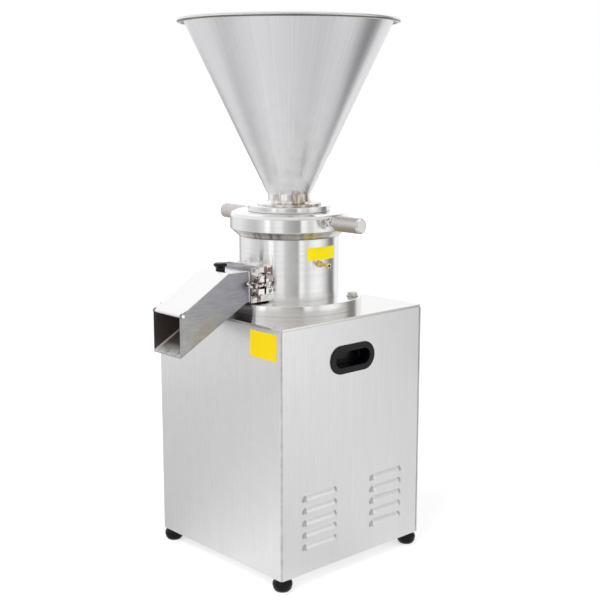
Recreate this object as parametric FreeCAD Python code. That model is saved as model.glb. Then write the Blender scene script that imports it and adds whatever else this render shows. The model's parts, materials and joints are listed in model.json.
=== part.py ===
import FreeCAD, Part
import math
import os

# Nut butter grinder: a vertical colloid mill on a sheet-steel cabinet.
# Millimetres. The mill axis is Z, the floor is z = 0, the chute points to -Y.
# The finger pull and the louvres that the photograph shows are on the +X face.

# Cabinet
CABINET_WIDTH = 312.0
CABINET_HEIGHT = 400.0
SHEET = 1.5
BEND_RADIUS = 4.0
TOP_PLATE = 4.0
PAN_THICKNESS = 3.0
REAR_RETURN = 20.0
FRAME_LEG = 25.0
FRAME_THICKNESS = 3.0
MOTOR_AIR_HOLE_R = 55.0

# Rubber feet and their screws
FOOT_HEIGHT = 20.0
FOOT_RADIUS = 16.0
FOOT_BASE_RADIUS = 13.5
FOOT_BULGE_LEVEL = 0.45
FOOT_INSET = 13.0
FOOT_RECESS_R = 7.5
FOOT_RECESS_DEPTH = 7.0
FOOT_SCREW_R = 4.0
FOOT_SCREW_HEAD_R = 6.5
FOOT_SCREW_HEAD = 4.0
FOOT_NUT_FLATS = 13.0
FOOT_NUT_HEIGHT = 6.5

# Louvres pressed into both side walls
LOUVRE_LENGTH = 77.0
LOUVRE_RISE = 11.0
LOUVRE_DEPTH = 4.5
LOUVRE_WALL = 1.2
LOUVRE_ROWS = 5
LOUVRE_PITCH = 20.0
LOUVRE_LOWEST = 40.0
LOUVRE_COLUMN_INSET = 81.0

# Flush finger pulls
PULL_LENGTH = 97.0
PULL_HEIGHT = 46.0
PULL_BEZEL = 2.5
PULL_MOUTH_LENGTH = 75.0
PULL_MOUTH_HEIGHT = 25.0
PULL_DEPTH = 24.0
PULL_WALL = 2.0
PULL_Y = -5.0
PULL_DROP = 66.0

# Rear panel screws
PANEL_SCREW_R = 2.5
PANEL_SCREW_HEAD_R = 4.6
PANEL_SCREW_HEAD = 2.4
PANEL_SCREW_LENGTH = 9.0
PANEL_SCREW_END_DISTANCE = 38.0

# Push-button station on the -X wall
SWITCH_INSET = 52.0
SWITCH_DROP = 74.0
SWITCH_WIDTH = 42.0
SWITCH_HEIGHT = 78.0
SWITCH_STANDOFF = 12.0
SWITCH_ROUNDING = 3.0
SWITCH_INSET_DEPTH = 34.0
SWITCH_INSET_MARGIN = 5.0
BUTTON_R = 10.0
BUTTON_SPACING = 34.0
BUTTON_PROUD = 6.0
BUTTON_LENGTH = 14.0
BUTTON_ROUNDING = 1.5
BUTTON_TRAVEL = 3.5
BUTTON_CLEARANCE = 0.3

# Cable gland low on the rear panel
GLAND_INSET = 51.0
GLAND_LIFT = 52.0
GLAND_BORE_R = 4.5
GLAND_THREAD_R = 8.0
GLAND_FLATS = 20.0
GLAND_BODY = 9.0
GLAND_DOME_R = 9.0
GLAND_DOME = 9.0
GLAND_ROUNDING = 3.0
GLAND_THREAD_PROUD = 1.0
GLAND_LOCKNUT_FLATS = 22.0
GLAND_LOCKNUT = 5.0

# Base flange that carries the mill, and its three bolts
FLANGE_R = 121.5
FLANGE_THICKNESS = 17.0
FLANGE_BORE_R = 27.0
FLANGE_BOLT_CIRCLE_R = 108.0
FLANGE_BOLT_COUNT = 3
FLANGE_BOLT_FIRST_DEG = 33.0
FLANGE_BOLT_STEP_DEG = 70.5
FLANGE_BOLT_R = 5.0
FLANGE_BOLT_FLATS = 16.0
FLANGE_BOLT_HEAD = 4.8
FLANGE_WASHER_R = 9.7
FLANGE_WASHER = 1.2
FLANGE_BOLT_NUT = 8.0

# Mill body with its water jacket
SLEEVE_R = 82.6
SLEEVE_WALL = 4.6
SLEEVE_HEIGHT = 99.5
BODY_FLOOR = 10.0
CHAMBER_R = 58.0
CHAMBER_WALL = 8.0
BODY_COLLAR = 12.0
BODY_THREAD_R = 76.0
BODY_THREAD_HEIGHT = 16.5
SEAL_POCKET_R = 24.0

# Outlet neck of the mill body, towards -Y
NECK_WIDTH = 80.0
NECK_LIFT = 2.5
OUTLET_NECK_HEIGHT = 56.5
NECK_REACH = 13.4
OUTLET_WIDTH = 66.0
OUTLET_ROOF = 8.0

# Water nipples
NIPPLE_ANGLES_DEG = (-6.0, 174.0)
INLET_DROP = 40.0
DRAIN_LIFT = 25.0
NIPPLE_THREAD_R = 4.0
NIPPLE_FLATS = 10.0
NIPPLE_HEX = 4.6
NIPPLE_SHOULDER_R = 4.6
NIPPLE_SHOULDER = 2.2
NIPPLE_NECK_R = 3.1
NIPPLE_NECK = 12.8
NIPPLE_FLARE = 3.4
NIPPLE_LIP_R = 4.5
NIPPLE_LIP = 2.5
NIPPLE_NOSE_R = 3.4
NIPPLE_NOSE = 1.3
NIPPLE_BORE_R = 2.0

# Adjusting ring and its two handles
RING_R = 97.5
RING_LOWER_R = 84.0
RING_GAP = 0.5
RING_CHAMFER = 12.0
RING_BAND = 21.4
RING_CROWN = 6.6
RING_CROWN_INSET = 8.0
RING_CROWN_STEP_IN = 2.4
RING_CROWN_STEP_UP = 4.4
RING_WEB = 15.3
RING_CLEARANCE = 0.3
RING_BORE_R = 62.3
HANDLE_LEVEL = 15.0
STUD_R = 7.25
STUD_SEAT = 12.0
STUD_SHOWN = 16.5
STUD_IN_GRIP = 22.0
GRIP_R = 12.5
GRIP_LENGTH = 55.5
GRIP_CHAMFER = 2.5

# Stator seat, stator and feed cover
SEAT_CLEARANCE = 0.3
SEAT_SLEEVE_WALL = 7.7
SEAT_LIFT = 35.0
SEAT_FLANGE_R = 72.0
SEAT_FLANGE = 6.5
STATOR_HEIGHT = 63.0
STATOR_TEETH = 18
TOOTH_DEPTH = 2.0
TOOTH_WIDTH = 3.0
TOOTH_SLANT_DEG = 12.0
TOOTH_RUNOUT = 4.0
GRIND_GAP = 0.35
COVER_R = 68.6
COVER_THICKNESS = 9.2
COVER_BORE_R = 31.0
GUIDE_PIN_R = 3.0
GUIDE_PIN_LEVEL = 6.5
GUIDE_SLOT_HALF = 5.0
GUIDE_PIN_CLEARANCE = 0.2
GUIDE_PIN_DEPTH = 4.0
GUIDE_PIN_END_GAP = 0.8

# Hopper and its turned neck
HOPPER_NECK_R = 34.2
HOPPER_NECK_BORE_R = 30.0
NECK_FLANGE_R = 53.4
NECK_FLANGE = 3.2
NECK_FILLET = 5.0
NECK_HEIGHT = 19.0
NECK_SPIGOT_R = 40.0
NECK_SPIGOT = 7.5
SPIGOT_CLEARANCE = 0.3
CONE_FOOT_R = 36.3
CONE_TOP_R = 168.4
CONE_HEIGHT = 274.0
CONE_SHEET = 1.5
CONE_SEAT = 4.0
NECK_LIP = 0.6
NECK_FUNNEL = 3.0
RIM_R = 179.5
RIM_BEAD_R = 3.5
RIM_RISE = 4.5

# Grinding rotor, impeller, seal and shaft
ROTOR_BASE_R = 43.0
ROTOR_TOP_R = 30.0
ROTOR_LEAD = 4.0
ROTOR_HEIGHT = 67.0
ROTOR_NUT_FLATS = 24.0
ROTOR_NUT_HEIGHT = 12.0
IMPELLER_HUB_R = 20.0
IMPELLER_R = 52.0
IMPELLER_GAP = 5.0
IMPELLER_LIFT = 2.0
IMPELLER_BLADES = 4
IMPELLER_BLADE = 5.0
IMPELLER_BLADE_HEIGHT = 20.0
SEAL_RING_R = 21.0
SHAFT_R = 14.0
SHAFT_ROTOR_R = 11.0
SHAFT_THREAD_R = 8.0
SHAFT_CLEARANCE = 0.05
SHAFT_SHOULDER_GAP = 0.5
SHAFT_THREAD_RELIEF = 4.0
SHAFT_END_PROUD = 2.0
SEAL_FACE_GAP = 0.05
SEAL_SEAT_CLEARANCE = 1.5

# Motor that hangs under the top plate
MOTOR_PLATE_CLEARANCE = 0.8
MOTOR_PLATE = 12.0
MOTOR_BOLT_CIRCLE_R = 88.0
MOTOR_BOLT_R = 5.0
MOTOR_BOLT_FLATS = 16.0
MOTOR_BOLT_HEAD = 6.4
MOTOR_FRAME_R = 72.0
MOTOR_FRAME_WALL = 6.0
MOTOR_FRAME_LENGTH = 234.0
MOTOR_FINS = 24
FIN_HEIGHT = 9.0
FIN_THICKNESS = 2.5
FIN_MARGIN = 14.0
END_SHIELD = 12.0
UPPER_BEARING_R = 31.0
UPPER_BEARING_BORE = 15.0
UPPER_BEARING_WIDTH = 16.0
LOWER_BEARING_R = 23.5
LOWER_BEARING_BORE = 10.0
LOWER_BEARING_WIDTH = 14.0
BEARING_LEDGE = 2.0
BEARING_HUB_WALL = 6.0
SHAFT_HOLE_CLEARANCE = 2.0
CORE_LIFT = 40.0
CORE_LENGTH = 115.0
CORE_BORE_R = 42.4
AIR_GAP = 0.4
CORE_SHAFT_R = 16.0
WINDING_OVERHANG = 22.0
WINDING_INNER_R = 46.0
WINDING_OUTER_R = 62.0
WINDING_ROUNDING = 4.0
FAN_R = 60.0
FAN_HUB_R = 18.0
FAN_BLADES = 8
FAN_BLADE = 2.0
FAN_BLADE_HEIGHT = 20.0
FAN_DISC = 3.0
FAN_DROP = 30.0
FAN_BORE_R = 8.0
COWL_WALL = 1.2
COWL_ROOM = 16.0
COWL_LAP = 12.0
COWL_VENTS = 10
COWL_VENT_R = 7.0
COWL_VENT_CIRCLE_R = 42.0
TERMINAL_BOX_WIDTH = 80.0
TERMINAL_BOX_DEPTH = 42.0
TERMINAL_BOX_HEIGHT = 80.0
TERMINAL_BOX_LIFT = 110.0
TERMINAL_BOX_WALL = 2.5

# Discharge chute
CHUTE_WIDTH = 70.0
CHUTE_SHEET = 1.5
CHUTE_FLANGE = 20.0
CHUTE_TOP_INSET = 6.0
CHUTE_FLOOR_INSET = 2.0
CHUTE_FLAT = 42.0
CHUTE_FLOOR_FLAT = 4.0
CHUTE_REACH = 94.0
CHUTE_DROP = 56.0
CHUTE_MOUTH_HEIGHT = 64.0
GASKET_WIDTH = 2.5
GASKET_THICKNESS = 2.0

# Lid of the chute, its hinge pin and knob
LID_SHEET = 1.5
LID_REAR_GAP = 0.8
LID_PIN_R = 2.0
LID_PIN_CLEARANCE = 0.05
LID_PIN_INSET = 4.0
LID_PIN_DEPTH = 1.0
LID_PIN_OVERHANG = 4.0
LID_PIN_HEAD_R = 3.0
LID_PIN_HEAD = 2.0
LID_CURL_R = 3.3
LID_SIDE_CLEARANCE = 0.3
LID_EAR_R = 4.5
LID_NARROW = 8.0
KNOB_SETBACK = 12.0
KNOB_STEM_R = 7.5
KNOB_CAP_R = 11.0
KNOB_HEIGHT = 15.0
KNOB_STEM = 6.5
KNOB_FLARE = 3.0
KNOB_CROWN = 2.5
KNOB_SCREW_R = 2.5

# Swing bolts with wing nuts, one each side of the outlet
BOLT_OUTSET = 6.5
BOLT_PIVOT_INSET = 9.0
BOLT_R = 3.0
BOLT_REACH = 40.0
BOLT_EYE_R = 5.4
BOLT_EYE_HALF = 4.9
BOLT_SLOT_HALF = 5.2
BOLT_PIN_R = 3.0
BOLT_PIN_CLEARANCE = 0.05
BOLT_PIN_HEAD_R = 3.6
BOLT_PIN_HEAD = 2.2
EAR_HALF = 15.5
EAR_TIP_WALL = 4.5
EAR_THICKNESS = 12.0
EAR_DEPTH = 14.0
EAR_WEB = 0.6
EAR_RELIEF = 2.0
EAR_SLOT_INSET = 3.7
NOTCH_CLEARANCE = 0.6
NOTCH_HALF = 17.0
NUT_GAP = 0.5
NUT_R = 5.5
NUT_LENGTH = 8.0
NUT_BORE_CLEARANCE = 0.05
WING_R = 10.5
WING_THICKNESS = 2.6
WING_RISE = 7.0
WING_TIP = 2.6
WING_SETBACK = 1.5
WING_ANGLE_DEG = 35.0

# Yellow stickers, both bare
STICKER = 0.3
STICKER_GLUE = 0.1
BODY_STICKER_FROM_DEG = -21.7
BODY_STICKER_TO_DEG = 19.2
BODY_STICKER_DROP = 33.5
BODY_STICKER_HEIGHT = 20.5
FRONT_STICKER_INSET = 10.0
FRONT_STICKER_WIDTH = 61.5
FRONT_STICKER_DROP = 9.5
FRONT_STICKER_HEIGHT = 41.5

# Places on the cabinet that follow from the sizes above
HALF = CABINET_WIDTH / 2
CABINET_BOTTOM = FOOT_HEIGHT
CABINET_TOP = FOOT_HEIGHT + CABINET_HEIGHT
PLATE_UNDERSIDE = CABINET_TOP - TOP_PLATE
REAR_INNER_Y = HALF - SHEET
LOUVRE_COLUMN_Y = HALF - LOUVRE_COLUMN_INSET
PULL_Z = CABINET_TOP - PULL_DROP
SWITCH_Y = SWITCH_INSET - HALF
SWITCH_Z = CABINET_TOP - SWITCH_DROP
GLAND_X = HALF - GLAND_INSET
GLAND_Z = CABINET_BOTTOM + GLAND_LIFT
FRONT_STICKER_X = HALF - FRONT_STICKER_INSET - FRONT_STICKER_WIDTH
FRONT_STICKER_TOP = CABINET_TOP - FRONT_STICKER_DROP

# Levels of the mill
BODY_BASE = CABINET_TOP + FLANGE_THICKNESS
CHAMBER_FLOOR = BODY_BASE + BODY_FLOOR
SLEEVE_TOP = BODY_BASE + SLEEVE_HEIGHT
SLEEVE_BORE_R = SLEEVE_R - SLEEVE_WALL
BODY_TOP = SLEEVE_TOP + BODY_THREAD_HEIGHT
INLET_Z = SLEEVE_TOP - INLET_DROP
DRAIN_Z = BODY_BASE + DRAIN_LIFT
NECK_BOTTOM_Z = BODY_BASE + NECK_LIFT
NECK_TOP_Z = NECK_BOTTOM_Z + OUTLET_NECK_HEIGHT
NECK_FACE_Y = -SLEEVE_R - NECK_REACH
OUTLET_TOP_Z = NECK_TOP_Z - OUTLET_ROOF
RING_BOTTOM = SLEEVE_TOP + RING_GAP
RING_BAND_BOTTOM = RING_BOTTOM + RING_CHAMFER
RING_BAND_TOP = RING_BAND_BOTTOM + RING_BAND
RING_TOP = RING_BAND_TOP + RING_CROWN
HANDLE_Z = RING_BAND_BOTTOM + HANDLE_LEVEL
WEB_BOTTOM = RING_TOP - RING_WEB
GUIDE_PIN_Z = SLEEVE_TOP + GUIDE_PIN_LEVEL
SEAT_R = CHAMBER_R - SEAT_CLEARANCE
SEAT_BORE_R = SEAT_R - SEAT_SLEEVE_WALL
SEAT_BOTTOM_Z = CHAMBER_FLOOR + SEAT_LIFT
SEAT_FLANGE_TOP = WEB_BOTTOM - RING_CLEARANCE
SEAT_NECK_R = RING_BORE_R - RING_CLEARANCE
COVER_BOTTOM = RING_TOP + RING_CLEARANCE
COVER_TOP = COVER_BOTTOM + COVER_THICKNESS
SPIGOT_FLOOR = COVER_TOP - NECK_SPIGOT - SPIGOT_CLEARANCE
CONE_FOOT = COVER_TOP + NECK_HEIGHT
CONE_SLOPE = (CONE_TOP_R - CONE_FOOT_R) / CONE_HEIGHT
CONE_WALL_R = CONE_SHEET * math.hypot(1.0, CONE_SLOPE)
RIM_TOP = CONE_FOOT + CONE_HEIGHT + RIM_RISE
IMPELLER_BASE_Z = CHAMBER_FLOOR + IMPELLER_GAP
ROTOR_BASE_Z = SEAT_BOTTOM_Z - ROTOR_LEAD
ROTOR_TOP = ROTOR_BASE_Z + ROTOR_HEIGHT
ROTOR_SLOPE = (ROTOR_BASE_R - ROTOR_TOP_R) / ROTOR_HEIGHT
BODY_STICKER_BOTTOM_Z = SLEEVE_TOP - BODY_STICKER_DROP

# Levels of the motor, from the top plate down
MOTOR_TOP = PLATE_UNDERSIDE
MOTOR_PLATE_BOTTOM = MOTOR_TOP - MOTOR_PLATE
MOTOR_PLATE_R = FLANGE_BOLT_CIRCLE_R - FLANGE_BOLT_FLATS / math.sqrt(3) - MOTOR_PLATE_CLEARANCE
UPPER_BEARING_BOTTOM = MOTOR_PLATE_BOTTOM - UPPER_BEARING_WIDTH
MOTOR_FRAME_BOTTOM_Z = MOTOR_PLATE_BOTTOM - MOTOR_FRAME_LENGTH
CORE_R = MOTOR_FRAME_R - MOTOR_FRAME_WALL
CORE_BOTTOM_Z = MOTOR_FRAME_BOTTOM_Z + CORE_LIFT
CORE_TOP = CORE_BOTTOM_Z + CORE_LENGTH
TERMINAL_BOX_Z = MOTOR_FRAME_BOTTOM_Z + TERMINAL_BOX_LIFT
SHIELD_BOTTOM = MOTOR_FRAME_BOTTOM_Z - END_SHIELD
LOWER_BEARING_BOTTOM = SHIELD_BOTTOM + BEARING_LEDGE
FAN_BOTTOM_Z = SHIELD_BOTTOM - FAN_DROP
COWL_BOTTOM_Z = FAN_BOTTOM_Z - COWL_ROOM

# Places on the chute and on its swing bolts
CHUTE_FLANGE_Y = NECK_FACE_Y - CHUTE_FLANGE
CHUTE_KNEE_Y = CHUTE_FLANGE_Y - CHUTE_FLAT
CHUTE_FLOOR_KNEE_Y = CHUTE_FLANGE_Y - CHUTE_FLOOR_FLAT
CHUTE_MOUTH_Y = CHUTE_KNEE_Y - CHUTE_REACH
CHUTE_TOP_Z = NECK_TOP_Z - CHUTE_TOP_INSET
CHUTE_FLOOR_Z = NECK_BOTTOM_Z + CHUTE_FLOOR_INSET
CHUTE_MOUTH_TOP_Z = CHUTE_TOP_Z - CHUTE_DROP
CHUTE_MOUTH_BOTTOM_Z = CHUTE_MOUTH_TOP_Z - CHUTE_MOUTH_HEIGHT
CHUTE_INNER = CHUTE_WIDTH / 2 - CHUTE_SHEET
TOP_SLOPE = math.atan2(CHUTE_DROP, CHUTE_REACH)
FLOOR_SLOPE = math.atan2(CHUTE_FLOOR_Z - CHUTE_MOUTH_BOTTOM_Z, CHUTE_FLOOR_KNEE_Y - CHUTE_MOUTH_Y)
KNOB_Y = CHUTE_KNEE_Y + KNOB_SETBACK
LID_PIN_Y = CHUTE_MOUTH_Y + LID_PIN_INSET
LID_PIN_Z = CHUTE_MOUTH_TOP_Z + LID_PIN_INSET * math.tan(TOP_SLOPE) - LID_PIN_DEPTH
BOLT_X = NECK_WIDTH / 2 + BOLT_OUTSET
BOLT_Z = (NECK_BOTTOM_Z + NECK_TOP_Z) / 2
BOLT_PIVOT_Y = NECK_FACE_Y + BOLT_PIVOT_INSET
EAR_TIP_X = BOLT_X + EAR_TIP_WALL
EAR_SLOT_END_X = BOLT_X - EAR_SLOT_INSET
EAR_FRONT_Y = NECK_FACE_Y - EAR_RELIEF - EAR_THICKNESS
NOTCH_X = CHUTE_WIDTH / 2 + NOTCH_CLEARANCE
NUT_SEAT_Y = EAR_FRONT_Y - NUT_GAP

X_AXIS = FreeCAD.Vector(1, 0, 0)
Y_AXIS = FreeCAD.Vector(0, 1, 0)
Z_AXIS = FreeCAD.Vector(0, 0, 1)
ORIGIN = FreeCAD.Vector(0, 0, 0)


def box(x0, x1, y0, y1, z0, z1):
    return Part.makeBox(x1 - x0, y1 - y0, z1 - z0, FreeCAD.Vector(x0, y0, z0))


def rod(radius, start, direction, length):
    return Part.makeCylinder(radius, length, FreeCAD.Vector(*start), direction)


def post(radius, z0, z1, x=0.0, y=0.0):
    return rod(radius, (x, y, z0), Z_AXIS, z1 - z0)


def ring(outer, inner, z0, z1):
    return post(outer, z0, z1).cut(post(inner, z0 - 1, z1 + 1))


def turned(profile):
    """A solid of revolution about Z from (radius, height) corners."""
    points = [FreeCAD.Vector(r, 0, z) for r, z in profile]
    face = Part.Face(Part.makePolygon(points + points[:1]))
    return face.revolve(ORIGIN, Z_AXIS, 360)


def plate_yz(corners, x0, x1):
    """A flat outline in the YZ plane, made solid from x0 to x1."""
    points = [FreeCAD.Vector(x0, y, z) for y, z in corners]
    face = Part.Face(Part.makePolygon(points + points[:1]))
    return face.extrude(FreeCAD.Vector(x1 - x0, 0, 0))


def hexagon(flats, height, start, direction):
    """A hexagonal bar, its flats facing the sides."""
    radius = flats / math.sqrt(3)
    points = []
    for i in range(7):
        angle = math.radians(60 * i)
        points.append(FreeCAD.Vector(radius * math.cos(angle), radius * math.sin(angle), 0))
    bar = Part.Face(Part.makePolygon(points)).extrude(FreeCAD.Vector(0, 0, height))
    bar.Placement = FreeCAD.Placement(FreeCAD.Vector(*start), FreeCAD.Rotation(Z_AXIS, direction))
    return bar


def turn(shape, degrees, centre=ORIGIN, axis=Z_AXIS):
    copy = shape.copy()
    copy.rotate(centre, axis, degrees)
    return copy


def around(shape, count, first_deg=0.0):
    return [turn(shape, first_deg + 360.0 * i / count) for i in range(count)]


def mirror_x(shape):
    return shape.mirror(ORIGIN, X_AXIS)


def fuse(shapes):
    return shapes[0].multiFuse(shapes[1:]).removeSplitter()


def rounded_bar(half_x, y0, y1, z0, z1, radius):
    """A box from -half_x to half_x with its four upright edges rounded."""
    block = box(-half_x, half_x, y0, y1, z0, z1)
    upright = [e for e in block.Edges if abs(e.Vertexes[0].Z - e.Vertexes[1].Z) > (z1 - z0) / 2]
    return block.makeFillet(radius, upright)


def stadium(length, height, x0, x1, y, z):
    """A bar with round ends: length along Y, height along Z, solid from x0 to x1."""
    radius = height / 2
    reach = length / 2 - radius
    middle = box(x0, x1, y - reach, y + reach, z - radius, z + radius)
    ends = [rod(radius, (x0, y + s * reach, z), X_AXIS, x1 - x0) for s in (-1, 1)]
    return fuse([middle] + ends)


def foot_places():
    reach = HALF - FOOT_INSET
    return [(sx * reach, sy * reach) for sx in (-1, 1) for sy in (-1, 1)]


def louvre_hood(y, z, wall):
    """A capsule whose upper quarter stands out of the +X wall, open below."""
    radius = (LOUVRE_RISE ** 2 + LOUVRE_DEPTH ** 2) / (2 * LOUVRE_DEPTH)
    centre_x = HALF + LOUVRE_DEPTH - radius
    reach = LOUVRE_LENGTH / 2 - LOUVRE_RISE
    skin = radius - wall
    capsule = [rod(skin, (centre_x, y - reach, z), Y_AXIS, 2 * reach)]
    for side in (-1, 1):
        capsule.append(Part.makeSphere(skin, FreeCAD.Vector(centre_x, y + side * reach, z)))
    low_x = HALF - SHEET - wall
    keep = box(low_x, HALF + LOUVRE_DEPTH, y - LOUVRE_LENGTH, y + LOUVRE_LENGTH, z - wall, z + radius)
    return fuse(capsule).common(keep)


def louvre_places():
    places = []
    for column in (-LOUVRE_COLUMN_Y, LOUVRE_COLUMN_Y):
        for row in range(LOUVRE_ROWS):
            places.append((column, CABINET_BOTTOM + LOUVRE_LOWEST + row * LOUVRE_PITCH))
    return places


def side_louvres(shell, side):
    """Press the louvres into one side wall: side is 1 for +X and -1 for -X."""
    hoods = [louvre_hood(y, z, 0.0) for y, z in louvre_places()]
    hollows = [louvre_hood(y, z, LOUVRE_WALL) for y, z in louvre_places()]
    if side < 0:
        hoods = [mirror_x(h) for h in hoods]
        hollows = [mirror_x(h) for h in hollows]
    return shell.multiFuse(hoods).cut(hollows)


def shell_space(z0, z1):
    """The space inside the cabinet walls."""
    return rounded_bar(HALF - SHEET, -HALF + SHEET, REAR_INNER_Y - SHEET, z0, z1, BEND_RADIUS - SHEET)


def cabinet_shell():
    """Front and both sides in one bent sheet, with returns behind for the rear panel."""
    walls = rounded_bar(HALF, -HALF, REAR_INNER_Y, CABINET_BOTTOM, PLATE_UNDERSIDE, BEND_RADIUS)
    walls = walls.cut(shell_space(CABINET_BOTTOM - 1, PLATE_UNDERSIDE + 1))
    reach = HALF - REAR_RETURN
    opening = box(-reach, reach, REAR_INNER_Y - 2 * SHEET, HALF, CABINET_BOTTOM - 1, PLATE_UNDERSIDE + 1)
    walls = walls.cut(opening)
    walls = side_louvres(side_louvres(walls, 1), -1)
    for side in (-1, 1):
        walls = walls.cut(pull_cup(side))
    walls = walls.cut(switch_inset())
    return walls.cut(panel_screw_holes())


def rear_panel():
    panel = box(-HALF, HALF, REAR_INNER_Y, HALF, CABINET_BOTTOM, PLATE_UNDERSIDE).cut(panel_screw_holes())
    return panel.cut(rod(GLAND_THREAD_R, (GLAND_X, REAR_INNER_Y - 1, GLAND_Z), Y_AXIS, SHEET + 2))


def panel_screw_places():
    x = HALF - REAR_RETURN / 2
    low = CABINET_BOTTOM + PANEL_SCREW_END_DISTANCE
    high = PLATE_UNDERSIDE - PANEL_SCREW_END_DISTANCE
    return [(side * x, z) for side in (-1, 1) for z in (low, (low + high) / 2, high)]


def panel_screw_holes():
    start = HALF - PANEL_SCREW_LENGTH
    return [rod(PANEL_SCREW_R, (x, start, z), Y_AXIS, PANEL_SCREW_LENGTH) for x, z in panel_screw_places()]


def panel_screws():
    screws = []
    for x, z in panel_screw_places():
        shank = rod(PANEL_SCREW_R, (x, HALF - PANEL_SCREW_LENGTH, z), Y_AXIS, PANEL_SCREW_LENGTH)
        head = rod(PANEL_SCREW_HEAD_R, (x, HALF, z), Y_AXIS, PANEL_SCREW_HEAD)
        screws.append(fuse([shank, head]))
    return screws


def flange_bolt_places():
    places = []
    for i in range(FLANGE_BOLT_COUNT):
        angle = math.radians(FLANGE_BOLT_FIRST_DEG + FLANGE_BOLT_STEP_DEG * i)
        places.append((FLANGE_BOLT_CIRCLE_R * math.cos(angle), FLANGE_BOLT_CIRCLE_R * math.sin(angle)))
    return places


def motor_bolt_places():
    reach = MOTOR_BOLT_CIRCLE_R * math.sqrt(0.5)
    return [(sx * reach, sy * reach) for sx in (-1, 1) for sy in (-1, 1)]


def cabinet_top_plate():
    plate = rounded_bar(HALF, -HALF, HALF, PLATE_UNDERSIDE, CABINET_TOP, BEND_RADIUS)
    plate = plate.cut(post(FLANGE_BORE_R, PLATE_UNDERSIDE - 1, CABINET_TOP + 1))
    for x, y in flange_bolt_places():
        plate = plate.cut(post(FLANGE_BOLT_R, PLATE_UNDERSIDE - 1, CABINET_TOP + 1, x, y))
    for x, y in motor_bolt_places():
        plate = plate.cut(post(MOTOR_BOLT_R, PLATE_UNDERSIDE - 1, CABINET_TOP + 1, x, y))
    return plate


def base_pan():
    pan = shell_space(CABINET_BOTTOM, CABINET_BOTTOM + PAN_THICKNESS)
    pan = pan.cut(post(MOTOR_AIR_HOLE_R, CABINET_BOTTOM - 1, CABINET_BOTTOM + PAN_THICKNESS + 1))
    for x, y in foot_places():
        pan = pan.cut(post(FOOT_SCREW_R, CABINET_BOTTOM - 1, CABINET_BOTTOM + PAN_THICKNESS + 1, x, y))
    return pan


def inner_frame():
    """Angle posts in the corners, with a rail round the top and one round the bottom."""
    low = CABINET_BOTTOM + PAN_THICKNESS
    space = shell_space(low, PLATE_UNDERSIDE)
    reach = HALF - SHEET
    back = REAR_INNER_Y - SHEET
    clear = FRAME_THICKNESS
    hollow = box(-reach + clear, reach - clear, -reach + clear, back - clear, low - 1, PLATE_UNDERSIDE + 1)
    tube = space.cut(hollow)
    corners = []
    for x0, x1 in ((-reach, -reach + FRAME_LEG), (reach - FRAME_LEG, reach)):
        for y0, y1 in ((-reach, -reach + FRAME_LEG), (back - FRAME_LEG, back)):
            corners.append(tube.common(box(x0, x1, y0, y1, low, PLATE_UNDERSIDE)))
    bottom_rail = tube.common(box(-HALF, HALF, -HALF, HALF, low, low + FRAME_LEG))
    top_rail = space.common(box(-HALF, HALF, -HALF, HALF, PLATE_UNDERSIDE - clear, PLATE_UNDERSIDE))
    inner = reach - FRAME_LEG
    middle = box(-inner, inner, -inner, back - FRAME_LEG, PLATE_UNDERSIDE - 2 * clear, CABINET_TOP)
    frame = fuse(corners + [bottom_rail, top_rail.cut(middle)])
    return frame.cut(panel_screw_holes())


def rubber_foot(x, y):
    """A round foot that bulges between its base and its top, hollow under its screw."""
    base = FreeCAD.Vector(FOOT_BASE_RADIUS, 0, 0)
    bulge = FreeCAD.Vector(FOOT_RADIUS, 0, FOOT_HEIGHT * FOOT_BULGE_LEVEL)
    top = FreeCAD.Vector(FOOT_BASE_RADIUS, 0, FOOT_HEIGHT)
    edges = [
        Part.Arc(base, bulge, top).toShape(),
        Part.makeLine(top, FreeCAD.Vector(0, 0, FOOT_HEIGHT)),
        Part.makeLine(FreeCAD.Vector(0, 0, FOOT_HEIGHT), ORIGIN),
        Part.makeLine(ORIGIN, base),
    ]
    foot = Part.Face(Part.Wire(edges)).revolve(ORIGIN, Z_AXIS, 360)
    foot = foot.cut(post(FOOT_RECESS_R, -1, FOOT_RECESS_DEPTH)).cut(post(FOOT_SCREW_R, 0, FOOT_HEIGHT + 1))
    foot.translate(FreeCAD.Vector(x, y, 0))
    return foot


def rubber_feet():
    return [rubber_foot(x, y) for x, y in foot_places()]


def foot_screws():
    """Screws up through the feet and the pan, each with its nut run on."""
    low = CABINET_BOTTOM + PAN_THICKNESS
    top = low + FOOT_NUT_HEIGHT + FOOT_SCREW_R
    screws = []
    for x, y in foot_places():
        head = post(FOOT_SCREW_HEAD_R, FOOT_RECESS_DEPTH - FOOT_SCREW_HEAD, FOOT_RECESS_DEPTH, x, y)
        nut = hexagon(FOOT_NUT_FLATS, FOOT_NUT_HEIGHT, (x, y, low), Z_AXIS)
        screws.append(fuse([head, nut, post(FOOT_SCREW_R, FOOT_RECESS_DEPTH, top, x, y)]))
    return screws


def pull_cup(side):
    """The solid outline of a finger pull's cup, inside the wall."""
    length = PULL_MOUTH_LENGTH + 2 * PULL_WALL
    height = PULL_MOUTH_HEIGHT + 2 * PULL_WALL
    cup = stadium(length, height, HALF - PULL_DEPTH, HALF, PULL_Y, PULL_Z)
    return cup if side > 0 else mirror_x(cup)


def side_pull(side):
    """A black moulded pull: a bezel outside the wall and a cup behind it."""
    bezel = stadium(PULL_LENGTH, PULL_HEIGHT, HALF, HALF + PULL_BEZEL, PULL_Y, PULL_Z)
    floor_x = HALF - PULL_DEPTH + PULL_WALL
    mouth = stadium(PULL_MOUTH_LENGTH, PULL_MOUTH_HEIGHT, floor_x, HALF + PULL_BEZEL + 1, PULL_Y, PULL_Z)
    pull = fuse([bezel, pull_cup(1)]).cut(mouth)
    return pull if side > 0 else mirror_x(pull)


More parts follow.
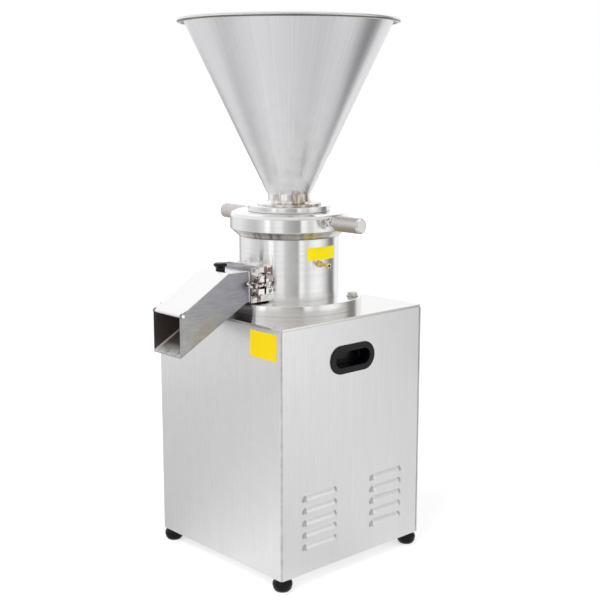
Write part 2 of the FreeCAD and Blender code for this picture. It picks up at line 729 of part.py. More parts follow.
def switch_inset():
    """The part of the push-button station that stands inside the wall."""
    half_y = SWITCH_WIDTH / 2 - SWITCH_INSET_MARGIN
    half_z = SWITCH_HEIGHT / 2 - SWITCH_INSET_MARGIN
    return box(-HALF, -HALF + SWITCH_INSET_DEPTH, SWITCH_Y - half_y, SWITCH_Y + half_y,
               SWITCH_Z - half_z, SWITCH_Z + half_z)


def button_level(name):
    return SWITCH_Z + (BUTTON_SPACING / 2 if name == "start" else -BUTTON_SPACING / 2)


def switch_box():
    half_y = SWITCH_WIDTH / 2
    half_z = SWITCH_HEIGHT / 2
    plate = box(-HALF - SWITCH_STANDOFF, -HALF, SWITCH_Y - half_y, SWITCH_Y + half_y,
                SWITCH_Z - half_z, SWITCH_Z + half_z)
    plate = plate.makeFillet(SWITCH_ROUNDING, plate.Faces[0].Edges)
    station = fuse([plate, switch_inset()])
    depth = BUTTON_LENGTH - BUTTON_PROUD + BUTTON_TRAVEL + BUTTON_CLEARANCE
    for name in ("start", "stop"):
        well = rod(BUTTON_R + BUTTON_CLEARANCE, (-HALF - SWITCH_STANDOFF - 1, SWITCH_Y, button_level(name)),
                   X_AXIS, depth + 1)
        station = station.cut(well)
    return station


def push_button(name):
    """A push button; its flange end stays in the station's well."""
    x = -HALF - SWITCH_STANDOFF - BUTTON_PROUD
    cap = rod(BUTTON_R, (x, SWITCH_Y, button_level(name)), X_AXIS, BUTTON_LENGTH)
    outer_rim = [e for e in cap.Edges if e.BoundBox.XMax < x + 1]
    return cap.makeFillet(BUTTON_ROUNDING, outer_rim)


def cable_gland():
    """The gland's hexagon, domed nut and thread, bored for the mains lead."""
    hexa = hexagon(GLAND_FLATS, GLAND_BODY, (GLAND_X, HALF, GLAND_Z), Y_AXIS)
    dome = rod(GLAND_DOME_R, (GLAND_X, HALF + GLAND_BODY, GLAND_Z), Y_AXIS, GLAND_DOME)
    dome_end = HALF + GLAND_BODY + GLAND_DOME
    dome = dome.makeFillet(GLAND_ROUNDING, [e for e in dome.Edges if e.BoundBox.YMin > dome_end - 1])
    inner = SHEET + GLAND_LOCKNUT + GLAND_THREAD_PROUD
    thread = rod(GLAND_THREAD_R, (GLAND_X, HALF - inner, GLAND_Z), Y_AXIS, inner)
    gland = fuse([hexa, dome, thread])
    length = inner + GLAND_BODY + GLAND_DOME
    return gland.cut(rod(GLAND_BORE_R, (GLAND_X, HALF - inner - 1, GLAND_Z), Y_AXIS, length + 2))


def gland_locknut():
    y = REAR_INNER_Y - GLAND_LOCKNUT
    nut = hexagon(GLAND_LOCKNUT_FLATS, GLAND_LOCKNUT, (GLAND_X, y, GLAND_Z), Y_AXIS)
    return nut.cut(rod(GLAND_THREAD_R, (GLAND_X, y - 1, GLAND_Z), Y_AXIS, GLAND_LOCKNUT + 2))


def base_flange():
    disc = ring(FLANGE_R, FLANGE_BORE_R, CABINET_TOP, BODY_BASE)
    for x, y in flange_bolt_places():
        disc = disc.cut(post(FLANGE_BOLT_R, CABINET_TOP - 1, BODY_BASE + 1, x, y))
    for x, y in motor_bolt_places():
        disc = disc.cut(post(MOTOR_BOLT_R, CABINET_TOP - 1, CABINET_TOP + MOTOR_PLATE, x, y))
    return disc


def flange_bolts():
    """Hexagon bolts down through the flange, each with its washer and its nut below."""
    low = PLATE_UNDERSIDE - FLANGE_BOLT_NUT
    bolts = []
    for x, y in flange_bolt_places():
        washer = post(FLANGE_WASHER_R, BODY_BASE, BODY_BASE + FLANGE_WASHER, x, y)
        head = hexagon(FLANGE_BOLT_FLATS, FLANGE_BOLT_HEAD, (x, y, BODY_BASE + FLANGE_WASHER), Z_AXIS)
        nut = hexagon(FLANGE_BOLT_FLATS, FLANGE_BOLT_NUT, (x, y, low), Z_AXIS)
        bolts.append(fuse([washer, head, nut, post(FLANGE_BOLT_R, low, BODY_BASE, x, y)]))
    return bolts


def outlet_neck():
    """The square neck of the body, with a pair of ears each side for the swing bolts."""
    half = NECK_WIDTH / 2
    neck = box(-half, half, NECK_FACE_Y, -CHAMBER_R, NECK_BOTTOM_Z, NECK_TOP_Z)
    ears = [neck]
    for side in (-1, 1):
        ear = box(half, EAR_TIP_X, NECK_FACE_Y + EAR_RELIEF, NECK_FACE_Y + EAR_RELIEF + EAR_DEPTH,
                  BOLT_Z - EAR_HALF, BOLT_Z + EAR_HALF)
        slot = box(half + EAR_WEB, EAR_TIP_X + 1, NECK_FACE_Y, NECK_FACE_Y + 2 * EAR_THICKNESS,
                   BOLT_Z - BOLT_SLOT_HALF, BOLT_Z + BOLT_SLOT_HALF)
        hole = post(BOLT_PIN_R, BOLT_Z - EAR_HALF - 1, BOLT_Z + EAR_HALF + 1, BOLT_X, BOLT_PIVOT_Y)
        ear = ear.cut(slot).cut(hole)
        ears.append(ear if side > 0 else mirror_x(ear))
    return fuse(ears)


def mill_body():
    """Floor, chamber wall, jacket collar and threaded top, with the outlet neck."""
    jacket_r = CHAMBER_R + CHAMBER_WALL
    collar = SLEEVE_TOP - BODY_COLLAR
    profile = [
        (SEAL_POCKET_R, BODY_BASE),
        (SLEEVE_BORE_R, BODY_BASE),
        (SLEEVE_BORE_R, CHAMBER_FLOOR),
        (jacket_r, CHAMBER_FLOOR),
        (jacket_r, collar),
        (SLEEVE_BORE_R, collar),
        (SLEEVE_BORE_R, SLEEVE_TOP),
        (BODY_THREAD_R, SLEEVE_TOP),
        (BODY_THREAD_R, BODY_TOP),
        (CHAMBER_R, BODY_TOP),
        (CHAMBER_R, CHAMBER_FLOOR),
        (SEAL_POCKET_R, CHAMBER_FLOOR),
    ]
    body = turned(profile).fuse(outlet_neck())
    body = body.cut(post(CHAMBER_R, CHAMBER_FLOOR, BODY_TOP + 1))
    half = OUTLET_WIDTH / 2
    passage = box(-half, half, NECK_FACE_Y - 1, 0, CHAMBER_FLOOR, OUTLET_TOP_Z)
    body = body.cut(passage)
    pin_hole = rod(GUIDE_PIN_R, (0, CHAMBER_R - 1, GUIDE_PIN_Z), Y_AXIS, BODY_THREAD_R - CHAMBER_R + 2)
    return body.cut(pin_hole).removeSplitter()


def jacket_sleeve():
    """The outer cylinder that closes the water jacket, cut away round the outlet neck."""
    sleeve = ring(SLEEVE_R, SLEEVE_BORE_R, BODY_BASE, SLEEVE_TOP)
    half = NECK_WIDTH / 2
    sleeve = sleeve.cut(box(-half, half, -SLEEVE_R - 1, 0, NECK_BOTTOM_Z, NECK_TOP_Z))
    for angle, level in zip(NIPPLE_ANGLES_DEG, (INLET_Z, DRAIN_Z)):
        hole = rod(NIPPLE_THREAD_R, (SLEEVE_BORE_R - 2, 0, level), X_AXIS, SLEEVE_WALL + 4)
        sleeve = sleeve.cut(turn(hole, angle))
    return sleeve


def cone_along_x(first_r, last_r, first_x, last_x, level):
    return Part.makeCone(first_r, last_r, last_x - first_x, FreeCAD.Vector(first_x, 0, level), X_AXIS)


def water_nipple(angle, level):
    """A hose nipple along +X with a narrow neck that flares at its end, turned round the mill axis."""
    thread = rod(NIPPLE_THREAD_R, (SLEEVE_BORE_R, 0, level), X_AXIS, SLEEVE_WALL)
    hexa = hexagon(NIPPLE_FLATS, NIPPLE_HEX, (SLEEVE_R, 0, level), X_AXIS)
    shoulder_x = SLEEVE_R + NIPPLE_HEX
    neck_x = shoulder_x + NIPPLE_SHOULDER
    flare_x = neck_x + NIPPLE_NECK
    lip_x = flare_x + NIPPLE_FLARE
    nose_x = lip_x + NIPPLE_LIP
    turned_parts = [
        cone_along_x(NIPPLE_SHOULDER_R, NIPPLE_NECK_R, shoulder_x, neck_x, level),
        rod(NIPPLE_NECK_R, (neck_x, 0, level), X_AXIS, NIPPLE_NECK),
        cone_along_x(NIPPLE_NECK_R, NIPPLE_LIP_R, flare_x, lip_x, level),
        rod(NIPPLE_LIP_R, (lip_x, 0, level), X_AXIS, NIPPLE_LIP),
        cone_along_x(NIPPLE_LIP_R, NIPPLE_NOSE_R, nose_x, nose_x + NIPPLE_NOSE, level),
    ]
    bore = rod(NIPPLE_BORE_R, (SLEEVE_BORE_R - 1, 0, level), X_AXIS, SLEEVE_R)
    return turn(fuse([thread, hexa] + turned_parts).cut(bore), angle)


def water_nipples():
    return [water_nipple(a, z) for a, z in zip(NIPPLE_ANGLES_DEG, (INLET_Z, DRAIN_Z))]


def adjusting_ring():
    """The ring that the handles turn: its thread bore below, a web over the seat flange."""
    bore = BODY_THREAD_R + RING_CLEARANCE
    profile = [
        (bore, RING_BOTTOM),
        (RING_LOWER_R, RING_BOTTOM),
        (RING_R, RING_BAND_BOTTOM),
        (RING_R, RING_BAND_TOP),
        (RING_R - RING_CROWN_STEP_IN, RING_BAND_TOP + RING_CROWN_STEP_UP),
        (RING_R - RING_CROWN_INSET, RING_TOP),
        (RING_BORE_R, RING_TOP),
        (RING_BORE_R, WEB_BOTTOM),
        (bore, WEB_BOTTOM),
    ]
    body = turned(profile)
    for side in (-1, 1):
        start = RING_R - STUD_SEAT
        hole = rod(STUD_R, (side * start, 0, HANDLE_Z), X_AXIS * side, STUD_SEAT + 1)
        body = body.cut(hole)
    return body


def handle_stud(side):
    start = RING_R - STUD_SEAT
    length = STUD_SEAT + STUD_SHOWN + STUD_IN_GRIP
    return rod(STUD_R, (side * start, 0, HANDLE_Z), X_AXIS * side, length)


def handle_grip(side):
    """A round metal grip on its stud, both ends chamfered."""
    start = RING_R + STUD_SHOWN
    grip = rod(GRIP_R, (start, 0, HANDLE_Z), X_AXIS, GRIP_LENGTH)
    grip = grip.makeChamfer(GRIP_CHAMFER, [e for e in grip.Edges if len(e.Vertexes) == 1])
    grip = grip.cut(rod(STUD_R, (start - 1, 0, HANDLE_Z), X_AXIS, STUD_IN_GRIP + 1))
    return grip if side > 0 else mirror_x(grip)


def cone_cutter(radius, height, slope, z):
    """A solid cone frustum that narrows upwards from radius at z."""
    return Part.makeCone(radius, radius - slope * height, height, FreeCAD.Vector(0, 0, z))


def rotor_radius(z):
    return ROTOR_BASE_R - ROTOR_SLOPE * (z - ROTOR_BASE_Z)


def tooth_slot(z0, z1, depth_in, depth_out):
    """A slanted slot along the cone's surface, reaching inwards and outwards of it."""
    length = z1 - z0 + 2 * TOOTH_RUNOUT
    middle = (z0 + z1) / 2
    radius = rotor_radius(middle)
    slot = box(-depth_in, depth_out, -TOOTH_WIDTH / 2, TOOTH_WIDTH / 2, -length / 2, length / 2)
    slot.rotate(ORIGIN, X_AXIS, TOOTH_SLANT_DEG)
    slot.rotate(ORIGIN, Y_AXIS, -math.degrees(math.atan(ROTOR_SLOPE)))
    slot.translate(FreeCAD.Vector(radius, 0, middle))
    return slot


def stator():
    """The fixed grinding cone, with slanted teeth cut in its bore."""
    bottom = SEAT_BOTTOM_Z
    body = post(SEAT_BORE_R, bottom, bottom + STATOR_HEIGHT)
    bore = cone_cutter(rotor_radius(bottom - 1) + GRIND_GAP, STATOR_HEIGHT + 2, ROTOR_SLOPE, bottom - 1)
    body = body.cut(bore)
    slot = tooth_slot(bottom, bottom + STATOR_HEIGHT, 1.0, TOOTH_DEPTH + GRIND_GAP)
    return body.cut(around(slot, STATOR_TEETH))


def rotor():
    """The turning grinding cone, with slanted teeth that cross those of the stator."""
    body = cone_cutter(ROTOR_BASE_R, ROTOR_HEIGHT, ROTOR_SLOPE, ROTOR_BASE_Z)
    body = body.cut(post(SHAFT_ROTOR_R, ROTOR_BASE_Z - 1, ROTOR_TOP + 1))
    slot = tooth_slot(ROTOR_BASE_Z, ROTOR_TOP, TOOTH_DEPTH, TOOTH_WIDTH)
    slot = slot.mirror(ORIGIN, Y_AXIS)
    return body.cut(around(slot, STATOR_TEETH))


def stator_seat():
    """Holds the stator and slides in the chamber bore, kept from turning by a pin."""
    profile = [
        (SEAT_BORE_R, SEAT_BOTTOM_Z),
        (SEAT_R, SEAT_BOTTOM_Z),
        (SEAT_R, SEAT_FLANGE_TOP - SEAT_FLANGE),
        (SEAT_FLANGE_R, SEAT_FLANGE_TOP - SEAT_FLANGE),
        (SEAT_FLANGE_R, SEAT_FLANGE_TOP),
        (SEAT_NECK_R, SEAT_FLANGE_TOP),
        (SEAT_NECK_R, COVER_BOTTOM),
        (COVER_BORE_R, COVER_BOTTOM),
        (COVER_BORE_R, SEAT_BOTTOM_Z + STATOR_HEIGHT),
        (SEAT_BORE_R, SEAT_BOTTOM_Z + STATOR_HEIGHT),
    ]
    seat = turned(profile)
    half = GUIDE_PIN_R + GUIDE_PIN_CLEARANCE
    depth = GUIDE_PIN_DEPTH + GUIDE_PIN_END_GAP
    low = GUIDE_PIN_Z - GUIDE_SLOT_HALF
    slot = box(-half, half, SEAT_R - depth, SEAT_R + 1, low, low + 2 * GUIDE_SLOT_HALF)
    return seat.cut(slot)


def guide_pin():
    length = BODY_THREAD_R - SEAT_R + GUIDE_PIN_DEPTH - GUIDE_PIN_END_GAP
    return rod(GUIDE_PIN_R, (0, SEAT_R - GUIDE_PIN_DEPTH, GUIDE_PIN_Z), Y_AXIS, length)


def feed_cover():
    """The stepped cover on the ring, with a socket for the hopper's spigot."""
    body = ring(COVER_R, COVER_BORE_R, COVER_BOTTOM, COVER_TOP)
    return body.cut(post(NECK_SPIGOT_R + SPIGOT_CLEARANCE, SPIGOT_FLOOR, COVER_TOP + 1))


def hopper_neck():
    """The turned neck under the cone: spigot, foot flange, fillet and tube."""
    flange_top = COVER_TOP + NECK_FLANGE
    fillet_r = HOPPER_NECK_R + NECK_FILLET
    hollow = NECK_FILLET * (1 - math.sqrt(0.5))
    corner = (HOPPER_NECK_R + hollow, flange_top + hollow)
    inner_foot = CONE_FOOT_R - CONE_WALL_R
    seat_top = CONE_FOOT + CONE_SEAT
    profile = [
        (HOPPER_NECK_BORE_R, COVER_TOP - NECK_SPIGOT),
        (NECK_SPIGOT_R, COVER_TOP - NECK_SPIGOT),
        (NECK_SPIGOT_R, COVER_TOP),
        (NECK_FLANGE_R, COVER_TOP),
        (NECK_FLANGE_R, flange_top),
        (fillet_r, flange_top),
        corner,
        (HOPPER_NECK_R, flange_top + NECK_FILLET),
        (HOPPER_NECK_R, CONE_FOOT),
        (inner_foot, CONE_FOOT),
        (inner_foot + CONE_SLOPE * CONE_SEAT, seat_top),
        (inner_foot + CONE_SLOPE * CONE_SEAT - NECK_LIP, seat_top),
        (HOPPER_NECK_BORE_R, CONE_FOOT - NECK_FUNNEL),
    ]
    return turned(profile)


def hopper():
    """The sheet cone, turned out flat at the top round a wired bead."""
    top = CONE_FOOT + CONE_HEIGHT
    bead_centre = RIM_R - RIM_BEAD_R
    brim_r = CONE_TOP_R + CONE_SLOPE * (RIM_RISE - CONE_SHEET)
    profile = [
        (CONE_FOOT_R, CONE_FOOT),
        (CONE_TOP_R, top),
        (brim_r, RIM_TOP - CONE_SHEET),
        (bead_centre, RIM_TOP - CONE_SHEET),
        (bead_centre, RIM_TOP),
        (CONE_TOP_R + CONE_SLOPE * RIM_RISE - CONE_WALL_R, RIM_TOP),
        (CONE_FOOT_R - CONE_WALL_R, CONE_FOOT),
    ]
    bead = Part.makeTorus(bead_centre, RIM_BEAD_R, FreeCAD.Vector(0, 0, RIM_TOP - RIM_BEAD_R))
    return turned(profile).fuse(bead)


def rotor_nut():
    nut = hexagon(ROTOR_NUT_FLATS, ROTOR_NUT_HEIGHT, (0, 0, ROTOR_TOP), Z_AXIS)
    return nut.cut(post(SHAFT_THREAD_R, ROTOR_TOP - 1, ROTOR_TOP + ROTOR_NUT_HEIGHT + 1))


def impeller():
    """Sweeps the paste out of the chamber and into the outlet."""
    hub = post(IMPELLER_HUB_R, IMPELLER_BASE_Z, ROTOR_BASE_Z)
    low = IMPELLER_BASE_Z + IMPELLER_LIFT
    blade = box(IMPELLER_HUB_R - 2, IMPELLER_R, -IMPELLER_BLADE / 2, IMPELLER_BLADE / 2,
                low, low + IMPELLER_BLADE_HEIGHT)
    wheel = fuse([hub] + around(blade, IMPELLER_BLADES, 45.0))
    return wheel.cut(post(SHAFT_ROTOR_R, IMPELLER_BASE_Z - 1, ROTOR_BASE_Z + 1))


def seal_seat():
    return ring(SEAL_POCKET_R, SHAFT_R + SEAL_SEAT_CLEARANCE, BODY_BASE, CHAMBER_FLOOR)


def seal_ring():
    return ring(SEAL_RING_R, SHAFT_R, CHAMBER_FLOOR + SEAL_FACE_GAP, IMPELLER_BASE_Z)


def shaft():
    """The motor shaft, which runs on up through the seal and carries the rotor."""
    bearing_low = UPPER_BEARING_BOTTOM
    upper = UPPER_BEARING_BORE - SHAFT_CLEARANCE
    lower = LOWER_BEARING_BORE - SHAFT_CLEARANCE
    lower_shoulder = LOWER_BEARING_BOTTOM + LOWER_BEARING_WIDTH + SHAFT_SHOULDER_GAP
    shaft_foot = FAN_BOTTOM_Z - SHAFT_END_PROUD
    shaft_head = ROTOR_TOP + ROTOR_NUT_HEIGHT + SHAFT_END_PROUD
    profile = [
        (0, shaft_foot),
        (FAN_BORE_R, shaft_foot),
        (FAN_BORE_R, SHIELD_BOTTOM),
        (lower, SHIELD_BOTTOM),
        (lower, lower_shoulder),
        (CORE_SHAFT_R, lower_shoulder),
        (CORE_SHAFT_R, bearing_low - SHAFT_SHOULDER_GAP),
        (upper, bearing_low - SHAFT_SHOULDER_GAP),
        (upper, MOTOR_PLATE_BOTTOM + SHAFT_SHOULDER_GAP),
        (SHAFT_R, MOTOR_PLATE_BOTTOM + SHAFT_SHOULDER_GAP),
        (SHAFT_R, IMPELLER_BASE_Z),
        (SHAFT_ROTOR_R, IMPELLER_BASE_Z),
        (SHAFT_ROTOR_R, ROTOR_TOP - SHAFT_THREAD_RELIEF),
        (SHAFT_THREAD_R, ROTOR_TOP - SHAFT_THREAD_RELIEF),
        (SHAFT_THREAD_R, shaft_head),
        (0, shaft_head),
    ]
    return turned(profile)


def motor_flange():
    """The upper end shield, bolted up under the cabinet's top plate."""
    plate = post(MOTOR_PLATE_R, MOTOR_PLATE_BOTTOM, MOTOR_TOP)
    hub_r = UPPER_BEARING_R + BEARING_HUB_WALL
    hub = post(hub_r, UPPER_BEARING_BOTTOM, MOTOR_PLATE_BOTTOM)
    shaft_hole = post(SHAFT_R + SHAFT_HOLE_CLEARANCE, MOTOR_PLATE_BOTTOM - 1, MOTOR_TOP + 1)
    shield = fuse([plate, hub]).cut(shaft_hole)
    shield = shield.cut(post(UPPER_BEARING_R, UPPER_BEARING_BOTTOM - 1, MOTOR_PLATE_BOTTOM))
    for x, y in motor_bolt_places():
        shield = shield.cut(post(MOTOR_BOLT_R, MOTOR_PLATE_BOTTOM - 1, MOTOR_TOP + 1, x, y))
    return shield


def motor_bolts():
    bolts = []
    for x, y in motor_bolt_places():
        low = MOTOR_PLATE_BOTTOM - MOTOR_BOLT_HEAD
        head = hexagon(MOTOR_BOLT_FLATS, MOTOR_BOLT_HEAD, (x, y, low), Z_AXIS)
        shank = post(MOTOR_BOLT_R, MOTOR_PLATE_BOTTOM, CABINET_TOP + MOTOR_PLATE - 1, x, y)
        bolts.append(fuse([head, shank]))
    return bolts


def motor_frame():
    """The ribbed motor housing."""
    tube = ring(MOTOR_FRAME_R, CORE_R, MOTOR_FRAME_BOTTOM_Z, MOTOR_PLATE_BOTTOM)
    fin = box(MOTOR_FRAME_R - 1, MOTOR_FRAME_R + FIN_HEIGHT, -FIN_THICKNESS / 2, FIN_THICKNESS / 2,
              MOTOR_FRAME_BOTTOM_Z + FIN_MARGIN, MOTOR_PLATE_BOTTOM - FIN_MARGIN)
    return tube.multiFuse(around(fin, MOTOR_FINS, 180.0 / MOTOR_FINS))


def end_shield():
    body = post(MOTOR_FRAME_R, SHIELD_BOTTOM, MOTOR_FRAME_BOTTOM_Z)
    hub_top = LOWER_BEARING_BOTTOM + LOWER_BEARING_WIDTH
    hub = post(LOWER_BEARING_R + BEARING_HUB_WALL, SHIELD_BOTTOM, hub_top)
    shaft_hole = post(LOWER_BEARING_BORE + SHAFT_HOLE_CLEARANCE, SHIELD_BOTTOM - 1, hub_top)
    return fuse([body, hub]).cut(shaft_hole).cut(post(LOWER_BEARING_R, LOWER_BEARING_BOTTOM, hub_top))


def upper_bearing():
    return ring(UPPER_BEARING_R, UPPER_BEARING_BORE, UPPER_BEARING_BOTTOM, MOTOR_PLATE_BOTTOM)


def lower_bearing():
    top = LOWER_BEARING_BOTTOM + LOWER_BEARING_WIDTH
    return ring(LOWER_BEARING_R, LOWER_BEARING_BORE, LOWER_BEARING_BOTTOM, top)


def stator_core():
    return ring(CORE_R, CORE_BORE_R, CORE_BOTTOM_Z, CORE_TOP)


def stator_windings():
    """The coil ends above and below the laminated core."""
    lower = ring(WINDING_OUTER_R, WINDING_INNER_R, CORE_BOTTOM_Z - WINDING_OVERHANG, CORE_BOTTOM_Z)
    upper = ring(WINDING_OUTER_R, WINDING_INNER_R, CORE_TOP, CORE_TOP + WINDING_OVERHANG)
    coils = []
    for coil in (lower, upper):
        rims = [e for e in coil.Edges if len(e.Vertexes) == 1]
        coils.append(coil.makeFillet(WINDING_ROUNDING, rims))
    return coils


def motor_rotor():
    return ring(CORE_BORE_R - AIR_GAP, CORE_SHAFT_R, CORE_BOTTOM_Z, CORE_TOP)


def cooling_fan():
    disc_low = FAN_BOTTOM_Z + FAN_BLADE_HEIGHT
    top = disc_low + FAN_DISC
    hub = post(FAN_HUB_R, FAN_BOTTOM_Z, top)
    disc = post(FAN_R, disc_low, top)
    half = FAN_BLADE / 2
    blade = box(FAN_HUB_R - FAN_BLADE, FAN_R, -half, half, FAN_BOTTOM_Z, disc_low)
    wheel = fuse([hub, disc] + around(blade, FAN_BLADES))
    return wheel.cut(post(FAN_BORE_R, FAN_BOTTOM_Z - 1, top + 1))


def fan_cowl():
    """A vented cup over the fan, lapped on to the end of the motor frame."""
    inner = MOTOR_FRAME_R
    top = MOTOR_FRAME_BOTTOM_Z + COWL_LAP
    cup = post(inner + COWL_WALL, COWL_BOTTOM_Z, top).cut(post(inner, COWL_BOTTOM_Z + COWL_WALL, top + 1))
    vent = post(COWL_VENT_R, COWL_BOTTOM_Z - 1, COWL_BOTTOM_Z + COWL_WALL + 1, COWL_VENT_CIRCLE_R)
    return cup.cut(around(vent, COWL_VENTS)).cut(post(COWL_VENT_R, COWL_BOTTOM_Z - 1, COWL_BOTTOM_Z + 2))


def terminal_box():
    """The terminal box on the motor's rear, over two of its fins."""
    half = TERMINAL_BOX_WIDTH / 2
    y0 = MOTOR_FRAME_R + FIN_HEIGHT
    y1 = y0 + TERMINAL_BOX_DEPTH
    wall = TERMINAL_BOX_WALL
    shell = box(-half, half, y0, y1, TERMINAL_BOX_Z, TERMINAL_BOX_Z + TERMINAL_BOX_HEIGHT)
    hollow = box(-half + wall, half - wall, y0 + wall, y1 - wall,
                 TERMINAL_BOX_Z + wall, TERMINAL_BOX_Z + TERMINAL_BOX_HEIGHT - wall)
    return shell.cut(hollow)


def chute_outline(floor_lift, top_lift):
    """The side outline of the chute, its floor raised and its top raised."""
    rise = floor_lift / math.cos(FLOOR_SLOPE)
    shift = floor_lift * math.tan(FLOOR_SLOPE / 2)
    return [
        (NECK_FACE_Y + 1, CHUTE_TOP_Z + top_lift),
        (CHUTE_KNEE_Y, CHUTE_TOP_Z + top_lift),
        (CHUTE_MOUTH_Y, CHUTE_MOUTH_TOP_Z + top_lift),
        (CHUTE_MOUTH_Y, CHUTE_MOUTH_BOTTOM_Z + rise),
        (CHUTE_FLOOR_KNEE_Y - shift, CHUTE_FLOOR_Z + floor_lift),
        (NECK_FACE_Y + 1, CHUTE_FLOOR_Z + floor_lift),
    ]


def chute_hollow():
    """The way through the chute: open in front and along the top of the channel."""
    inner = plate_yz(chute_outline(CHUTE_SHEET, 0.0), -CHUTE_INNER, CHUTE_INNER)
    past = CHUTE_MOUTH_Y - 2
    drop = 2 * math.tan(FLOOR_SLOPE)
    mouth_floor = CHUTE_MOUTH_BOTTOM_Z + CHUTE_SHEET / math.cos(FLOOR_SLOPE)
    mouth = [
        (CHUTE_MOUTH_Y, CHUTE_MOUTH_TOP_Z),
        (past, CHUTE_MOUTH_TOP_Z),
        (past, mouth_floor - drop),
        (CHUTE_MOUTH_Y, mouth_floor),
    ]
    return inner.fuse(plate_yz(mouth, -CHUTE_INNER, CHUTE_INNER))


def chute_ear(side):
    """The slotted ear that the swing bolt drops into."""
    back = EAR_FRONT_Y + EAR_THICKNESS
    ear = box(NOTCH_X - 1, EAR_TIP_X, EAR_FRONT_Y, back, BOLT_Z - EAR_HALF, BOLT_Z + EAR_HALF)
    slot = box(EAR_SLOT_END_X, EAR_TIP_X + 1, EAR_FRONT_Y - 1, NECK_FACE_Y, BOLT_Z - BOLT_SLOT_HALF,
               BOLT_Z + BOLT_SLOT_HALF)
    ear = ear.cut(slot)
    return ear if side > 0 else mirror_x(ear)


def chute_notch(side):
    """Room for the wing nut in front of the ear."""
    edge = NECK_WIDTH / 2 + 1
    notch = box(NOTCH_X, edge, CHUTE_FLANGE_Y - 1, EAR_FRONT_Y, BOLT_Z - NOTCH_HALF, BOLT_Z + NOTCH_HALF)
    return notch if side > 0 else mirror_x(notch)


def gasket():
    """A flat square ring let into the chute's flange, round the passage."""
    low = CHUTE_FLOOR_Z + CHUTE_SHEET
    half = CHUTE_INNER + GASKET_WIDTH
    block = box(-half, half, NECK_FACE_Y - GASKET_THICKNESS, NECK_FACE_Y,
                low - GASKET_WIDTH, CHUTE_TOP_Z + GASKET_WIDTH)
    passage = box(-CHUTE_INNER, CHUTE_INNER, CHUTE_FLANGE_Y, NECK_FACE_Y + 1, low, CHUTE_TOP_Z)
    return block.cut(passage)


def chute():
    """Sheet channel with its machined flange, ears and hinge ears for the lid."""
    half = CHUTE_WIDTH / 2
    wide = NECK_WIDTH / 2
    behind = box(-half, half, NECK_FACE_Y, 0, 0, CABINET_TOP * 2)
    channel = plate_yz(chute_outline(0.0, 0.0), -half, half).cut(behind)
    flange = box(-wide, wide, CHUTE_FLANGE_Y, NECK_FACE_Y, NECK_BOTTOM_Z, NECK_TOP_Z)
    lobes = [rod(LID_EAR_R, (s * half, LID_PIN_Y, LID_PIN_Z), X_AXIS * -s, CHUTE_SHEET) for s in (-1, 1)]
    body = channel.multiFuse([flange] + lobes)
    for side in (-1, 1):
        body = body.cut(chute_notch(side)).fuse(chute_ear(side))
    body = body.cut(chute_hollow()).cut(gasket())
    body = body.cut(rod(LID_PIN_R, (-half - 1, LID_PIN_Y, LID_PIN_Z), X_AXIS, CHUTE_WIDTH + 2))
    return body.removeSplitter()


def lid_outline(end_y):
    """The lid's bent section: flat over the flange end, then sloping down to end_y."""
    lift_y = LID_SHEET * math.tan(TOP_SLOPE / 2)
    rise = LID_SHEET / math.cos(TOP_SLOPE)
    end_z = CHUTE_TOP_Z - (CHUTE_KNEE_Y - end_y) * math.tan(TOP_SLOPE)
    rear = CHUTE_FLANGE_Y - LID_REAR_GAP
    return [
        (rear, CHUTE_TOP_Z),
        (CHUTE_KNEE_Y, CHUTE_TOP_Z),
        (end_y, end_z),
        (end_y, end_z + rise),
        (CHUTE_KNEE_Y - lift_y, CHUTE_TOP_Z + LID_SHEET),
        (rear, CHUTE_TOP_Z + LID_SHEET),
    ]


def chute_lid():
    """The folded lid, curled round the hinge pin between the chute's walls."""
    half = CHUTE_WIDTH / 2
    narrow = CHUTE_INNER - LID_SIDE_CLEARANCE
    cover = plate_yz(lid_outline(LID_PIN_Y + LID_NARROW), -half, half)
    tongue = plate_yz(lid_outline(LID_PIN_Y), -narrow, narrow)
    curl = rod(LID_CURL_R, (-narrow, LID_PIN_Y, LID_PIN_Z), X_AXIS, 2 * narrow)
    lid = fuse([cover, tongue, curl])
    lid = lid.cut(rod(LID_PIN_R + LID_PIN_CLEARANCE, (-half, LID_PIN_Y, LID_PIN_Z), X_AXIS, CHUTE_WIDTH))
    return lid.cut(post(KNOB_SCREW_R, CHUTE_TOP_Z - 1, CHUTE_TOP_Z + LID_SHEET + 1, 0, KNOB_Y))


def lid_pin():
    half = CHUTE_WIDTH / 2
    length = CHUTE_WIDTH + 2 * LID_PIN_OVERHANG
    pin = rod(LID_PIN_R, (-half - LID_PIN_OVERHANG, LID_PIN_Y, LID_PIN_Z), X_AXIS, length)
    heads = []
    for side in (-1, 1):
        start = side * (half + LID_PIN_OVERHANG - LID_PIN_HEAD)
        heads.append(rod(LID_PIN_HEAD_R, (start, LID_PIN_Y, LID_PIN_Z), X_AXIS * side, LID_PIN_HEAD))
    return fuse([pin] + heads)


def lid_knob():
    """A black mushroom knob, its screw down through the lid."""
    low = CHUTE_TOP_Z + LID_SHEET
    top = low + KNOB_HEIGHT
    waist = low + KNOB_STEM
    profile = [
        (0, CHUTE_TOP_Z),
        (KNOB_SCREW_R, CHUTE_TOP_Z),
        (KNOB_SCREW_R, low),
        (KNOB_STEM_R, low),
        (KNOB_STEM_R, waist),
        (KNOB_CAP_R, waist + KNOB_FLARE),
        (KNOB_CAP_R, top - KNOB_CROWN),
        (KNOB_CAP_R - KNOB_CROWN, top),
        (0, top),
    ]
    knob = turned(profile)
    knob.translate(FreeCAD.Vector(0, KNOB_Y, 0))
    return knob


